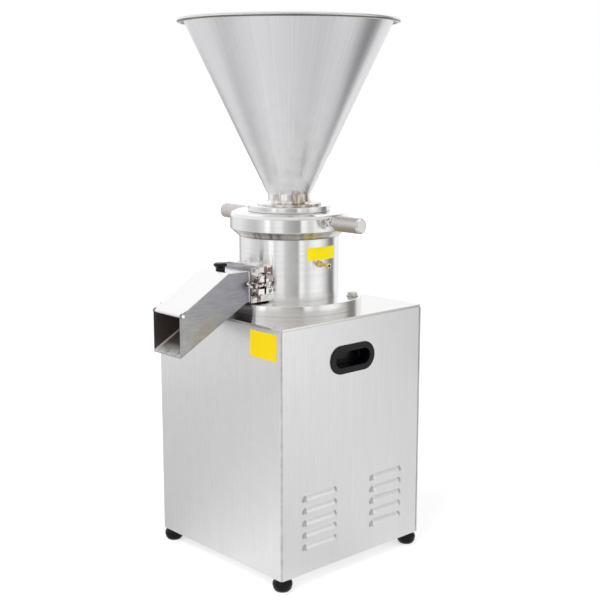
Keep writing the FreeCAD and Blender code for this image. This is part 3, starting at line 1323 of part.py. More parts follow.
def swing_bolt(side):
    """An eye bolt that pivots on an upright pin and points to -Y when closed."""
    eye = post(BOLT_EYE_R, BOLT_Z - BOLT_EYE_HALF, BOLT_Z + BOLT_EYE_HALF, BOLT_X, BOLT_PIVOT_Y)
    shank = rod(BOLT_R, (BOLT_X, BOLT_PIVOT_Y, BOLT_Z), -Y_AXIS, BOLT_REACH)
    hole = post(BOLT_PIN_R + BOLT_PIN_CLEARANCE, BOLT_Z - EAR_HALF, BOLT_Z + EAR_HALF, BOLT_X, BOLT_PIVOT_Y)
    bolt = fuse([eye, shank]).cut(hole)
    return bolt if side > 0 else mirror_x(bolt)


def swing_bolt_pins():
    """Upright pins with a round head that rests on the ear."""
    top = BOLT_Z + EAR_HALF
    pins = []
    for side in (-1, 1):
        x = side * BOLT_X
        head = post(BOLT_PIN_HEAD_R, top, top + BOLT_PIN_HEAD, x, BOLT_PIVOT_Y)
        pins.append(fuse([post(BOLT_PIN_R, BOLT_Z - EAR_HALF, top, x, BOLT_PIVOT_Y), head]))
    return pins


def wing_nut(side):
    """A wing nut on the swing bolt: a round boss and two wings that rise forwards."""
    boss = rod(NUT_R, (BOLT_X, NUT_SEAT_Y, BOLT_Z), -Y_AXIS, NUT_LENGTH)
    centre = FreeCAD.Vector(BOLT_X, NUT_SEAT_Y, BOLT_Z)
    wings = []
    for hand in (-1, 1):
        outline = [
            (0.0, -WING_SETBACK),
            (0.0, -NUT_LENGTH),
            (WING_R - WING_TIP, -NUT_LENGTH - WING_RISE),
            (WING_R, -NUT_LENGTH - WING_RISE + WING_SETBACK),
            (WING_R, -NUT_LENGTH),
            (NUT_R, -WING_SETBACK),
        ]
        low = BOLT_Z - WING_THICKNESS / 2
        points = [FreeCAD.Vector(BOLT_X + hand * u, NUT_SEAT_Y + v, low) for u, v in outline]
        face = Part.Face(Part.makePolygon(points + points[:1]))
        wings.append(face.extrude(FreeCAD.Vector(0, 0, WING_THICKNESS)))
    bore = rod(BOLT_R + NUT_BORE_CLEARANCE, (BOLT_X, NUT_SEAT_Y + 1, BOLT_Z), -Y_AXIS, BOLT_REACH)
    nut = turn(fuse([boss] + wings).cut(bore), WING_ANGLE_DEG, centre, Y_AXIS)
    return nut if side > 0 else mirror_x(nut)


def body_sticker():
    """A thin yellow sticker bent round the jacket sleeve."""
    top = BODY_STICKER_BOTTOM_Z + BODY_STICKER_HEIGHT
    inner = SLEEVE_R + STICKER_GLUE
    outer = inner + STICKER
    corners = [(inner, BODY_STICKER_BOTTOM_Z), (outer, BODY_STICKER_BOTTOM_Z), (outer, top), (inner, top)]
    points = [FreeCAD.Vector(r, 0, z) for r, z in corners]
    face = Part.Face(Part.makePolygon(points + points[:1]))
    face.rotate(ORIGIN, Z_AXIS, BODY_STICKER_FROM_DEG)
    return face.revolve(ORIGIN, Z_AXIS, BODY_STICKER_TO_DEG - BODY_STICKER_FROM_DEG)


def front_sticker():
    low = FRONT_STICKER_TOP - FRONT_STICKER_HEIGHT
    return box(FRONT_STICKER_X, FRONT_STICKER_X + FRONT_STICKER_WIDTH, -HALF - STICKER, -HALF,
               low, FRONT_STICKER_TOP)


def all_nodes():
    """Every node's name with its solid, or with its group of separate solids."""
    return {
        "cabinet_shell": cabinet_shell(),
        "rear_panel": rear_panel(),
        "panel_screws": panel_screws(),
        "cabinet_top_plate": cabinet_top_plate(),
        "base_pan": base_pan(),
        "inner_frame": inner_frame(),
        "rubber_feet": rubber_feet(),
        "foot_screws": foot_screws(),
        "side_pull_right": side_pull(1),
        "side_pull_left": side_pull(-1),
        "switch_box": switch_box(),
        "start_button": push_button("start"),
        "stop_button": push_button("stop"),
        "cable_gland": cable_gland(),
        "gland_locknut": gland_locknut(),
        "base_flange": base_flange(),
        "flange_bolts": flange_bolts(),
        "mill_body": mill_body(),
        "jacket_sleeve": jacket_sleeve(),
        "water_nipples": water_nipples(),
        "adjusting_ring": adjusting_ring(),
        "handle_studs": [handle_stud(1), handle_stud(-1)],
        "handle_grip_right": handle_grip(1),
        "handle_grip_left": handle_grip(-1),
        "stator_seat": stator_seat(),
        "seat_guide_pin": guide_pin(),
        "grinding_stator": stator(),
        "feed_cover": feed_cover(),
        "hopper_neck": hopper_neck(),
        "hopper": hopper(),
        "grinding_rotor": rotor(),
        "rotor_nut": rotor_nut(),
        "discharge_impeller": impeller(),
        "seal_seat": seal_seat(),
        "seal_ring": seal_ring(),
        "shaft": shaft(),
        "motor_flange": motor_flange(),
        "motor_bolts": motor_bolts(),
        "motor_frame": motor_frame(),
        "motor_end_shield": end_shield(),
        "upper_bearing": upper_bearing(),
        "lower_bearing": lower_bearing(),
        "stator_core": stator_core(),
        "stator_windings": stator_windings(),
        "motor_rotor": motor_rotor(),
        "cooling_fan": cooling_fan(),
        "fan_cowl": fan_cowl(),
        "terminal_box": terminal_box(),
        "chute": chute(),
        "chute_gasket": gasket(),
        "chute_lid": chute_lid(),
        "lid_pin": lid_pin(),
        "lid_knob": lid_knob(),
        "swing_bolt_right": swing_bolt(1),
        "swing_bolt_left": swing_bolt(-1),
        "swing_bolt_pins": swing_bolt_pins(),
        "wing_nut_right": wing_nut(1),
        "wing_nut_left": wing_nut(-1),
        "body_sticker": body_sticker(),
        "front_sticker": front_sticker(),
    }


def write_parts():
    os.makedirs("parts", exist_ok=True)
    for name, shape in all_nodes().items():
        if isinstance(shape, list):
            shape = Part.makeCompound(shape)
        shape.exportStep("parts/" + name + ".step")


write_parts()
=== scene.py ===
import json
import math

import bmesh
import bpy
from mathutils import Matrix, Vector


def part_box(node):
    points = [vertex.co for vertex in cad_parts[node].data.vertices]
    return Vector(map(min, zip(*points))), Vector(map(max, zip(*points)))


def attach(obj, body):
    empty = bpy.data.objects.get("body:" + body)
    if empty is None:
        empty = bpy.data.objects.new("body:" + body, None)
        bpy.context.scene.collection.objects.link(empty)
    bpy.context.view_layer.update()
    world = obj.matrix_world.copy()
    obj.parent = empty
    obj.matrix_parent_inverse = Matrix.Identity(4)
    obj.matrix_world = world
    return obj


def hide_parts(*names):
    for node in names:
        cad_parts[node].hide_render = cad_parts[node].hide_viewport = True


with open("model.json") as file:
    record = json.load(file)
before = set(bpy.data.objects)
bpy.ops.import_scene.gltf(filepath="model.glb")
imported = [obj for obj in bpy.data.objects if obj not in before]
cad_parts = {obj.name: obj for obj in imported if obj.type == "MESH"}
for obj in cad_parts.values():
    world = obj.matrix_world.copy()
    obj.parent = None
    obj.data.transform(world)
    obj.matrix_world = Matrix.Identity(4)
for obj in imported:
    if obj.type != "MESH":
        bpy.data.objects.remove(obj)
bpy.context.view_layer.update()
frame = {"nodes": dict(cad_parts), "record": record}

MM = 0.001
SLOT = {p["node"]: p["material_slot"] for p in frame["record"]["subparts"]}
BODY = {n: b for b, names in frame["record"]["behaviour"]["bodies"].items() for n in names}
WHITE = (1.0, 1.0, 1.0, 1.0)
RUBBED_STEEL = (0.95, 0.95, 0.94, 1)
# Pale colour for a painted pool of light on a chute's floor near its mouth.
PAINTED_LEDGE_LIGHT = (0.8, 0.8, 0.77, 1)

# Sizes in mm, and turns in degrees, of what the finished pieces share with the solids
NECK_R = 34.0
GRIP_R = 12.5
GRIP_LEVEL = 564.0
GRIP_START_X = 114.0
FOOT_PLACE = 143.0
KNOB_PLACE_Y = -146.0
FLANGE_TOP = 437.0
BOLT_CIRCLE_R = 108.0
BOLT_TURNS = (33.0, 103.5, 174.0)
WASHER_R = 9.7
WASHER = 1.2
SCREW_PLACE_X = 146.0
SCREW_PLACE_Y = 156.0
SCREW_LEVELS = (58.0, 218.0, 378.0)
CHUTE_HALF_INSIDE = 33.5
INSIDE_BEND_R = 2.2


# Nodes of any tree


def node(tree, kind, inputs=None, **settings):
    """A node with its settings made first and its inputs then set or joined."""
    made = tree.nodes.new(kind)
    for key, value in settings.items():
        setattr(made, key, value)
    for key, value in (inputs or {}).items():
        if isinstance(value, bpy.types.NodeSocket):
            tree.links.new(value, made.inputs[key])
        else:
            made.inputs[key].default_value = value
    return made


def calc(tree, operation, *values):
    """The result of a Math node."""
    return node(tree, "ShaderNodeMath", dict(enumerate(values)), operation=operation).outputs[0]


def vector_calc(tree, operation, *values):
    """The vector result of a Vector Math node."""
    made = node(tree, "ShaderNodeVectorMath", dict(enumerate(values)), operation=operation)
    return made.outputs["Vector"]


def spread(tree, value, low, high, to_low=0.0, to_high=1.0):
    """A value taken from one range to another and kept inside it."""
    made = node(tree, "ShaderNodeMapRange", {
        "Value": value, "From Min": low, "From Max": high, "To Min": to_low, "To Max": to_high})
    return made.outputs["Result"]


def noise(tree, vector, scale=1.0, detail=2.0, roughness=0.5):
    """The grey value of a noise texture."""
    made = node(tree, "ShaderNodeTexNoise", {
        "Vector": vector, "Scale": scale, "Detail": detail, "Roughness": roughness})
    return made.outputs["Fac"]


def mix_colours(tree, share, first, second):
    """A colour between two, or the second one where the share is 1."""
    made = node(tree, "ShaderNodeMix", {0: share, 6: first, 7: second}, data_type="RGBA")
    return made.outputs[2]


def overlay(tree, colour, share, strength, other):
    """A colour with another laid over it, as far as a share and its strength say."""
    return mix_colours(tree, calc(tree, "MULTIPLY", share, strength), colour, other)


def split(tree, vector):
    """The three values of a vector."""
    return node(tree, "ShaderNodeSeparateXYZ", {0: vector}).outputs


def join(tree, x, y, z):
    """A vector from three values."""
    return node(tree, "ShaderNodeCombineXYZ", {0: x, 1: y, 2: z}).outputs[0]


def from_axis(tree, x, y):
    """The distance from the upright axis."""
    return calc(tree, "SQRT", calc(tree, "ADD", calc(tree, "MULTIPLY", x, x), calc(tree, "MULTIPLY", y, y)))


def face_normal(tree):
    """The direction that a face looks in."""
    return node(tree, "ShaderNodeNewGeometry").outputs["Normal"]


# Shader groups that several finishes share


def shader_group(name, inputs, outputs):
    """An empty group with named sockets; returns the tree, its input sockets and its output node."""
    tree = bpy.data.node_groups.new(name, "ShaderNodeTree")
    for label, kind, value in inputs:
        socket = tree.interface.new_socket(label, in_out="INPUT", socket_type="NodeSocket" + kind)
        if value is not None:
            socket.default_value = value
    for label, kind in outputs:
        tree.interface.new_socket(label, in_out="OUTPUT", socket_type="NodeSocket" + kind)
    return tree, tree.nodes.new("NodeGroupInput").outputs, tree.nodes.new("NodeGroupOutput")


def brushed_grain_group():
    """Long fine marks along the axis that has the smallest stretch."""
    tree, given, result = shader_group(
        "brushed_grain",
        [("Vector", "Vector", None), ("Stretch", "Vector", (400.0, 400.0, 4.0))],
        [("Streak", "Float"), ("Scratch", "Float")])
    stretched = vector_calc(tree, "MULTIPLY", given["Vector"], given["Stretch"])
    finer = vector_calc(tree, "MULTIPLY", stretched, (3.7, 3.7, 3.7))
    broad = noise(tree, stretched, 1.0, 3.0, 0.7)
    fine = noise(tree, finer, 1.0, 2.0, 0.6)
    both = calc(tree, "ADD", calc(tree, "MULTIPLY", broad, 0.6), calc(tree, "MULTIPLY", fine, 0.4))
    tree.links.new(spread(tree, both, 0.34, 0.66), result.inputs["Streak"])
    tree.links.new(spread(tree, fine, 0.64, 0.74), result.inputs["Scratch"])
    return tree


def turned_grain_group():
    """Tool marks that run round the upright axis of the coordinates given."""
    tree, given, result = shader_group(
        "turned_grain",
        [("Vector", "Vector", None), ("Density", "Float", 2500.0)],
        [("Groove", "Float"), ("Band", "Float")])
    x, y, z = split(tree, given["Vector"])
    place = join(tree, from_axis(tree, x, y), 0.0, z)
    dense = node(tree, "ShaderNodeVectorMath", {0: place, "Scale": given["Density"]}, operation="SCALE")
    groove = noise(tree, dense.outputs[0], 1.0, 2.0, 0.6)
    band = noise(tree, dense.outputs[0], 0.11, 2.0, 0.5)
    tree.links.new(spread(tree, groove, 0.3, 0.7), result.inputs["Groove"])
    tree.links.new(spread(tree, band, 0.35, 0.65), result.inputs["Band"])
    return tree


def handling_marks_group():
    """Soft smears and finger marks in uneven patches."""
    tree, given, result = shader_group(
        "handling_marks",
        [("Vector", "Vector", None), ("Patch", "Float", 9.0)],
        [("Smear", "Float")])
    patch = noise(tree, given["Vector"], given["Patch"], 3.0, 0.55)
    ridged = noise(tree, given["Vector"], calc(tree, "MULTIPLY", given["Patch"], 7.0), 4.0, 0.6)
    smear = calc(tree, "MULTIPLY", spread(tree, patch, 0.46, 0.68), spread(tree, ridged, 0.35, 0.7))
    tree.links.new(smear, result.inputs["Smear"])
    return tree


def edge_wear_group():
    """Brighter rubbed edges, broken up along their length."""
    tree, given, result = shader_group(
        "edge_wear",
        [("Vector", "Vector", None), ("Breakup", "Float", 60.0)],
        [("Rubbed", "Float")])
    edges = node(tree, "ShaderNodeNewGeometry").outputs["Pointiness"]
    broken = noise(tree, given["Vector"], given["Breakup"], 3.0, 0.6)
    worn = calc(tree, "MULTIPLY", spread(tree, edges, 0.53, 0.6), spread(tree, broken, 0.35, 0.6))
    tree.links.new(worn, result.inputs["Rubbed"])
    return tree


def moulded_skin_group():
    """The fine pitted skin of rubber, moulded plastic and sprayed paint, and the dust in its pits."""
    tree, given, result = shader_group(
        "moulded_skin",
        [("Vector", "Vector", None), ("Grain", "Float", 900.0)],
        [("Skin", "Float"), ("Dust", "Float")])
    cells = node(tree, "ShaderNodeTexVoronoi", {"Vector": given["Vector"], "Scale": given["Grain"]})
    pits = noise(tree, given["Vector"], given["Grain"], 2.0, 0.5)
    skin = calc(tree, "ADD", calc(tree, "MULTIPLY", cells.outputs["Distance"], 0.5),
                calc(tree, "MULTIPLY", pits, 0.5))
    tree.links.new(skin, result.inputs["Skin"])
    speck = noise(tree, given["Vector"], calc(tree, "MULTIPLY", given["Grain"], 0.7), 2.0, 0.7)
    film = noise(tree, given["Vector"], 35.0, 3.0, 0.6)
    dust = calc(tree, "MULTIPLY", spread(tree, speck, 0.55, 0.7), spread(tree, film, 0.4, 0.7))
    tree.links.new(dust, result.inputs["Dust"])
    return tree


GROUPS = {
    "brushed": brushed_grain_group(),
    "turned": turned_grain_group(),
    "marks": handling_marks_group(),
    "wear": edge_wear_group(),
    "skin": moulded_skin_group(),
}


def use(tree, group, inputs):
    """A shader group placed in a material; returns its outputs."""
    return node(tree, "ShaderNodeGroup", inputs, node_tree=GROUPS[group]).outputs


# Finishes


def start_finish(name, metallic=0.0, **constants):
    """A material with its shader; returns material, tree, shader and the object coordinates."""
    mat = bpy.data.materials.new(name)
    mat.use_nodes = True
    tree = mat.node_tree
    shader = tree.nodes["Principled BSDF"]
    shader.inputs["Metallic"].default_value = metallic
    for key, value in constants.items():
        shader.inputs[key.replace("_", " ")].default_value = value
    place = node(tree, "ShaderNodeTexCoord").outputs["Object"]
    return mat, tree, shader, place


def marks_and_wear(tree, place, patch, breakup):
    """How far a place is smeared, in patches, and how far its edges are rubbed."""
    smear = use(tree, "marks", {"Vector": place, "Patch": patch})["Smear"]
    rubbed = use(tree, "wear", {"Vector": place, "Breakup": breakup})["Rubbed"]
    return smear, rubbed


def shine(tree, shader, roughness, marks, handled):
    """The roughness of the grain, raised where the piece is smeared."""
    smeared = calc(tree, "ADD", roughness, calc(tree, "MULTIPLY", marks, handled))
    tree.links.new(smeared, shader.inputs["Roughness"])


def relief(tree, shader, height, depth, strength=0.5):
    """A bump of a real depth in metres."""
    bump = node(tree, "ShaderNodeBump", {"Height": height, "Distance": depth, "Strength": strength})
    tree.links.new(bump.outputs["Normal"], shader.inputs["Normal"])


def direction_of_marks(tree, shader, amount, across):
    """The stretched highlight that brushing or turning gives."""
    round_axis = node(tree, "ShaderNodeTangent", direction_type="RADIAL", axis="Z")
    tree.links.new(round_axis.outputs["Tangent"], shader.inputs["Tangent"])
    shader.inputs["Anisotropic"].default_value = amount
    shader.inputs["Anisotropic Rotation"].default_value = 0.25 if across else 0.0


def fanned_out(tree, place, radius):
    """Coordinates that keep one width of mark all the way up a cone."""
    x, y, z = split(tree, place)
    scale = calc(tree, "DIVIDE", radius, calc(tree, "MAXIMUM", from_axis(tree, x, y), 0.001))
    return join(tree, calc(tree, "MULTIPLY", x, scale), calc(tree, "MULTIPLY", y, scale), z)


def brushed_finish(name, pale, dull, smooth, rough, stretch, depth=0.00002, smear=0.05, handled=0.03,
                   patch=7.0, stretched=0.4, fanned=0.0, painted_light_between=None, **constants):
    """Sheet steel brushed one way, a little uneven, with faint smears and rubbed edges.

    A fanned finish keeps its mark's width up a cone, from that radius. One given two places along y
    has a painted pool of light between them, on its level faces.
    """
    mat, tree, shader, place = start_finish(name, 1.0, **constants)
    lie = fanned_out(tree, place, fanned) if fanned else place
    grain = use(tree, "brushed", {"Vector": lie, "Stretch": stretch})
    marks, worn = marks_and_wear(tree, place, patch, 45.0)
    colour = mix_colours(tree, grain["Streak"], dull, pale)
    colour = overlay(tree, colour, marks, smear, dull)
    # Painted light: level faces between two places along y are made pale, a lit ledge inside the chute's mouth.
    if painted_light_between:
        level = spread(tree, split(tree, face_normal(tree))[2], 0.3, 0.6)
        near = calc(tree, "MULTIPLY", level, spread(tree, split(tree, place)[1], *painted_light_between))
        broken = calc(tree, "MULTIPLY", near, spread(tree, noise(tree, place, 70.0, 3.0, 0.6), 0.2, 0.5))
        colour = mix_colours(tree, broken, colour, PAINTED_LEDGE_LIGHT)
    colour = overlay(tree, colour, worn, 0.6, RUBBED_STEEL)
    tree.links.new(colour, shader.inputs["Base Color"])
    shine(tree, shader, spread(tree, grain["Streak"], 0.0, 1.0, rough, smooth), marks, handled)
    relief(tree, shader, calc(tree, "SUBTRACT", grain["Streak"], grain["Scratch"]), depth)
    direction_of_marks(tree, shader, stretched, across=False)
    return mat


def mirror_finish(name, pale, dark, cells_per_metre, unreflected_share=0.5, smooth=0.06, rough=0.16):
    """Hand-polished bright metal with dark brown reflections painted on in sharp square-cornered patches."""
    mat, tree, shader, place = start_finish(name, 1.0)
    cells = node(tree, "ShaderNodeTexVoronoi", {
        "Vector": place, "Scale": cells_per_metre, "Randomness": 0.6}, distance="CHEBYCHEV")
    # The dark patches are painted brown reflections.
    patches = split(tree, cells.outputs["Color"])[0]
    painted_reflection_patches = spread(tree, patches, unreflected_share, unreflected_share + 0.12)
    marks, worn = marks_and_wear(tree, place, 60.0, 120.0)
    colour = mix_colours(tree, painted_reflection_patches, pale, dark)
    colour = overlay(tree, colour, marks, 0.6, dark)
    colour = mix_colours(tree, worn, colour, pale)
    tree.links.new(colour, shader.inputs["Base Color"])
    tree.links.new(spread(tree, painted_reflection_patches, 0.0, 1.0, smooth, rough), shader.inputs["Roughness"])
    relief(tree, shader, patches, 0.00002, 0.4)
    return mat


def turned_finish(name, pale, dull, smooth, rough, density, depth=0.000004, stretched=0.9, tint=None,
                  lobes=70.0):
    """Metal turned on a lathe, its tool marks round the upright axis, with brown reflections painted on in lobes
    round it where asked.
    """
    mat, tree, shader, place = start_finish(name, 1.0)
    grain = use(tree, "turned", {"Vector": place, "Density": density})
    marks, worn = marks_and_wear(tree, place, 16.0, 120.0)
    mixed = calc(tree, "ADD", calc(tree, "MULTIPLY", grain["Groove"], 0.5),
                 calc(tree, "MULTIPLY", grain["Band"], 0.5))
    colour = mix_colours(tree, mixed, dull, pale)
    colour = overlay(tree, colour, marks, 0.2, dull)
    # Brown reflections painted round the axis in lobes, where a tint is given.
    if tint:
        round_it = vector_calc(
            tree, "MULTIPLY", fanned_out(tree, place, NECK_R * MM), (lobes, lobes, lobes * 0.15))
        painted_reflection_lobes = spread(tree, noise(tree, round_it, 1.0, 2.0, 0.6), 0.47, 0.6, 0.0, 0.85)
        colour = mix_colours(tree, painted_reflection_lobes, colour, tint)
    colour = overlay(tree, colour, worn, 0.5, pale)
    tree.links.new(colour, shader.inputs["Base Color"])
    shine(tree, shader, spread(tree, mixed, 0.0, 1.0, rough, smooth), marks, 0.1)
    relief(tree, shader, grain["Groove"], depth)
    if stretched:
        direction_of_marks(tree, shader, stretched, across=True)
    return mat


def moulded_finish(name, colour, dusty, smooth, rough, grain=900.0, depth=0.00004, dust=0.25, **constants):
    """Rubber, plastic, enamel or film with a fine skin, dust in its pits and rubbed edges."""
    mat, tree, shader, place = start_finish(name, **constants)
    skin = use(tree, "skin", {"Vector": place, "Grain": grain})
    marks, worn = marks_and_wear(tree, place, 22.0, 90.0)
    tone = mix_colours(tree, calc(tree, "MULTIPLY", skin["Dust"], dust), colour, dusty)
    for share in (marks, worn):
        tone = overlay(tree, tone, share, dust, dusty)
    tree.links.new(tone, shader.inputs["Base Color"])
    shine(tree, shader, spread(tree, skin["Skin"], 0.2, 0.8, smooth, rough), marks, 0.12)
    relief(tree, shader, skin["Skin"], depth)
    return mat


def knurled_finish(name, pale, dull, pitch, centre_z, radius):
    """A grip rolled with fine crossed lines round an axis along X."""
    mat, tree, shader, place = start_finish(name, 1.0)
    x, y, z = split(tree, place)
    angle = calc(tree, "ARCTAN2", y, calc(tree, "SUBTRACT", z, centre_z))
    run = calc(tree, "MULTIPLY", angle, radius / pitch)
    along = calc(tree, "DIVIDE", x, pitch)
    one = calc(tree, "PINGPONG", calc(tree, "ADD", along, run), 0.5)
    other = calc(tree, "PINGPONG", calc(tree, "SUBTRACT", along, run), 0.5)
    diamond = calc(tree, "MINIMUM", one, other)
    marks, worn = marks_and_wear(tree, place, 40.0, 160.0)
    facing = split(tree, face_normal(tree))
    plain = spread(tree, calc(tree, "ABSOLUTE", facing[0]), 0.3, 0.6)
    lit = calc(tree, "MAXIMUM", spread(tree, diamond, 0.02, 0.25), plain)
    colour = mix_colours(tree, lit, dull, pale)
    colour = mix_colours(tree, plain, colour, (0.92, 0.91, 0.9, 1))
    # Painted shade: faces that look down are darkened towards dark brown.
    painted_under_shade = spread(tree, facing[2], -0.2, -0.85, 0.0, 0.75)
    colour = mix_colours(tree, painted_under_shade, colour, (0.2, 0.17, 0.15, 1))
    colour = overlay(tree, colour, marks, 0.25, dull)
    colour = overlay(tree, colour, worn, 0.6, (0.85, 0.83, 0.8, 1))
    tree.links.new(colour, shader.inputs["Base Color"])
    tree.links.new(spread(tree, lit, 0.0, 1.0, 0.42, 0.24), shader.inputs["Roughness"])
    even = calc(tree, "MULTIPLY", diamond, calc(tree, "SUBTRACT", 1.0, plain))
    relief(tree, shader, even, 0.0004, 0.4)
    return mat


FINISH = {
    "cabinet": brushed_finish("cabinet_brushed_steel", (0.95, 0.95, 0.955, 1), (0.86, 0.86, 0.87, 1), 0.26, 0.34,
                              (520.0, 520.0, 5.0), smear=0.03, handled=0.02),
    # Darker steel on the cabinet's front bends: a painted shade line.
    "shaded_bend": brushed_finish("cabinet_bend_painted_shade", (0.66, 0.65, 0.64, 1), (0.54, 0.53, 0.52, 1), 0.3, 0.4,
                           (520.0, 520.0, 5.0), smear=0.03, handled=0.02),
    "hopper": brushed_finish("hopper_satin_steel", (0.83, 0.83, 0.845, 1), (0.75, 0.75, 0.77, 1), 0.2, 0.28,
                             (420.0, 420.0, 2.5), smear=0.05, stretched=0.3, fanned=0.1),
    # Dark brown for faces that look down: painted shade under the hopper's rim and under the chute.
    "underside": brushed_finish("underside_painted_shade", (0.3, 0.28, 0.25, 1), (0.14, 0.12, 0.1, 1), 0.25, 0.4,
                                (300.0, 300.0, 300.0), smear=0.6, stretched=0.0),
    "chute": brushed_finish("chute_brushed_steel", (0.53, 0.535, 0.575, 1), (0.41, 0.415, 0.455, 1), 0.46, 0.56,
                            (600.0, 30.0, 300.0), smear=0.5, stretched=0.0),
    # The chute's inside: a dark brown base that is painted shade, a painted pool of light near the mouth, and a
    # faint painted glow.
    "inside": brushed_finish("chute_inside_painted_shade_and_light", (0.13, 0.107, 0.1, 1), (0.065, 0.05, 0.047, 1), 0.3, 0.45,
                             (300.0, 300.0, 300.0), smear=0.5, stretched=0.0, painted_light_between=(-0.228, -0.25),
                             Metallic=0.5, Emission_Color=(1.0, 0.82, 0.78, 1), Emission_Strength=0.008),
    # A faint glow on the inside bends: a painted highlight along them.
    "inside_bend": brushed_finish("chute_inside_bend_painted_glow", (0.8, 0.79, 0.77, 1), (0.6, 0.59, 0.57, 1), 0.3, 0.4,
                                  (300.0, 300.0, 300.0), stretched=0.0, Metallic=0.6,
                                  Emission_Color=(1.0, 0.97, 0.93, 1), Emission_Strength=0.06),
    "lid": brushed_finish("lid_bright_steel", (0.98, 0.98, 0.98, 1), (0.93, 0.93, 0.93, 1), 0.16, 0.26,
                          (700.0, 25.0, 60.0), stretched=0.0),
    "plate": brushed_finish("top_plate_polished", (0.82, 0.81, 0.795, 1), (0.74, 0.725, 0.71, 1), 0.04, 0.1,
                            (9.0, 700.0, 700.0), depth=0.000004, stretched=0.0),
    "turned": turned_finish("turned_polished_steel", (0.93, 0.93, 0.93, 1), (0.85, 0.85, 0.855, 1), 0.1, 0.17,
                            1800.0),
    "sleeve": turned_finish("sleeve_polished_steel", (0.94, 0.94, 0.94, 1), (0.87, 0.87, 0.875, 1), 0.15, 0.21,
                            1800.0, stretched=1.0),
    # Darker turned steel: painted shade on the ring's down-facing faces, and the brown stain of the flange bolts.
    "chamfer": turned_finish("turned_steel_stained_and_painted_shade", (0.6, 0.585, 0.55, 1), (0.36, 0.34, 0.31, 1), 0.12, 0.2,
                             1800.0),
    # The neck's brown lobes are painted reflections.
    "neck": turned_finish("turned_steel_painted_brown_reflections", (1.0, 1.0, 1.0, 1), (0.9, 0.89, 0.88, 1), 0.1, 0.18, 1800.0,
                          tint=(0.42, 0.33, 0.25, 1), lobes=75.0),
    # Block and bolt steel carry painted dark reflections in square patches.
    "block": mirror_finish("outlet_block_polished", (0.97, 0.96, 0.95, 1), (0.22, 0.165, 0.145, 1), 125.0),
    "bolt": mirror_finish("bright_bolt_steel", (0.97, 0.96, 0.95, 1), (0.25, 0.2, 0.18, 1), 260.0, 0.6),
    "grip": knurled_finish("knurled_grip_steel", (0.86, 0.84, 0.83, 1), (0.45, 0.42, 0.4, 1), 0.0011,
                           GRIP_LEVEL * MM, GRIP_R * MM),
    "brass": turned_finish("turned_brass", (0.9, 0.72, 0.4, 1), (0.66, 0.48, 0.22, 1), 0.18, 0.3, 3000.0,
                           stretched=0.0),
    "rubber": moulded_finish("black_rubber", (0.003, 0.003, 0.004, 1), (0.022, 0.02, 0.019, 1), 0.18, 0.32, 700.0,
                             depth=0.00002, dust=0.12, Specular_IOR_Level=0.22),
    "plastic": moulded_finish("black_plastic", (0.003, 0.003, 0.005, 1), (0.03, 0.03, 0.032, 1), 0.16, 0.28, 1200.0,
                              depth=0.00002, dust=0.08, Specular_IOR_Level=0.3),
    "green": moulded_finish("green_plastic", (0.02, 0.28, 0.07, 1), (0.2, 0.4, 0.24, 1), 0.2, 0.34, 1200.0,
                            dust=0.2),
    "red": moulded_finish("red_plastic", (0.5, 0.02, 0.018, 1), (0.55, 0.2, 0.18, 1), 0.2, 0.34, 1200.0,
                          dust=0.2),
    "film": moulded_finish("yellow_film", (1.0, 0.74, 0.0, 1), (0.98, 0.7, 0.005, 1), 0.42, 0.55, 1500.0,
                           depth=0.00001, dust=0.2, Specular_IOR_Level=0.15),
    # The body sticker's film glows a little: painted light.
    "film_glowing": moulded_finish("yellow_film_painted_glow", (1.0, 0.78, 0.0, 1), (0.98, 0.74, 0.005, 1), 0.42, 0.55,
                                  1500.0, depth=0.00001, dust=0.2, Specular_IOR_Level=0.15,
                                  Emission_Color=(0.7, 0.9, 0.0, 1), Emission_Strength=0.15),
    "enamel": moulded_finish("motor_enamel", (0.12, 0.16, 0.2, 1), (0.3, 0.29, 0.27, 1), 0.34, 0.5, 420.0,
                             depth=0.00006, dust=0.5),
    "machined": turned_finish("machined_steel", (0.62, 0.61, 0.6, 1), (0.42, 0.41, 0.4, 1), 0.3, 0.45, 2600.0),
    "copper": turned_finish("varnished_copper", (0.72, 0.3, 0.14, 1), (0.42, 0.16, 0.07, 1), 0.28, 0.42, 1400.0,
                            stretched=0.0),
    "zinc": moulded_finish("zinc_plate", (0.55, 0.56, 0.56, 1), (0.38, 0.37, 0.34, 1), 0.3, 0.46, 260.0,
                           depth=0.00002, dust=0.35, metallic=1.0),
    "seal": moulded_finish("white_silicone", (0.7, 0.69, 0.66, 1), (0.5, 0.47, 0.42, 1), 0.4, 0.55, 700.0),
}
SLOT_FINISH = {
    "brushed": "cabinet", "polished": "turned", "grip": "grip", "black_rubber": "rubber",
    "black_plastic": "plastic", "green_plastic": "green", "red_plastic": "red", "brass": "brass",
    "sticker": "film", "motor_paint": "enamel", "steel": "machined", "copper": "copper",
    "silicone": "seal", "zinc": "zinc",
}


# Shapes


def to_object(name, mesh):
    """An object at the origin for a mesh."""
    obj = bpy.data.objects.new(name, mesh)
    bpy.context.scene.collection.objects.link(obj)
    return obj


def shade(mesh, angle=30.0):
    """Smooth faces that break only at edges sharper than the angle."""
    mesh.shade_smooth()
    mesh.set_sharp_from_angle(angle=math.radians(angle))


def evaluated(obj):
    """The plain mesh that an object's modifiers give; the modifiers are then removed."""
    graph = bpy.context.evaluated_depsgraph_get()
    mesh = bpy.data.meshes.new_from_object(obj.evaluated_get(graph), depsgraph=graph)
    obj.modifiers.clear()
    obj.data = mesh
    return obj


def settle(obj, part):
    """A finished piece given the body of the solid that it stands for."""
    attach(obj, BODY[part])
    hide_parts(part)
    return obj


def settle_extra(obj, part):
    """A small piece that goes with a solid's body and stands for none."""
    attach(obj, BODY[part])


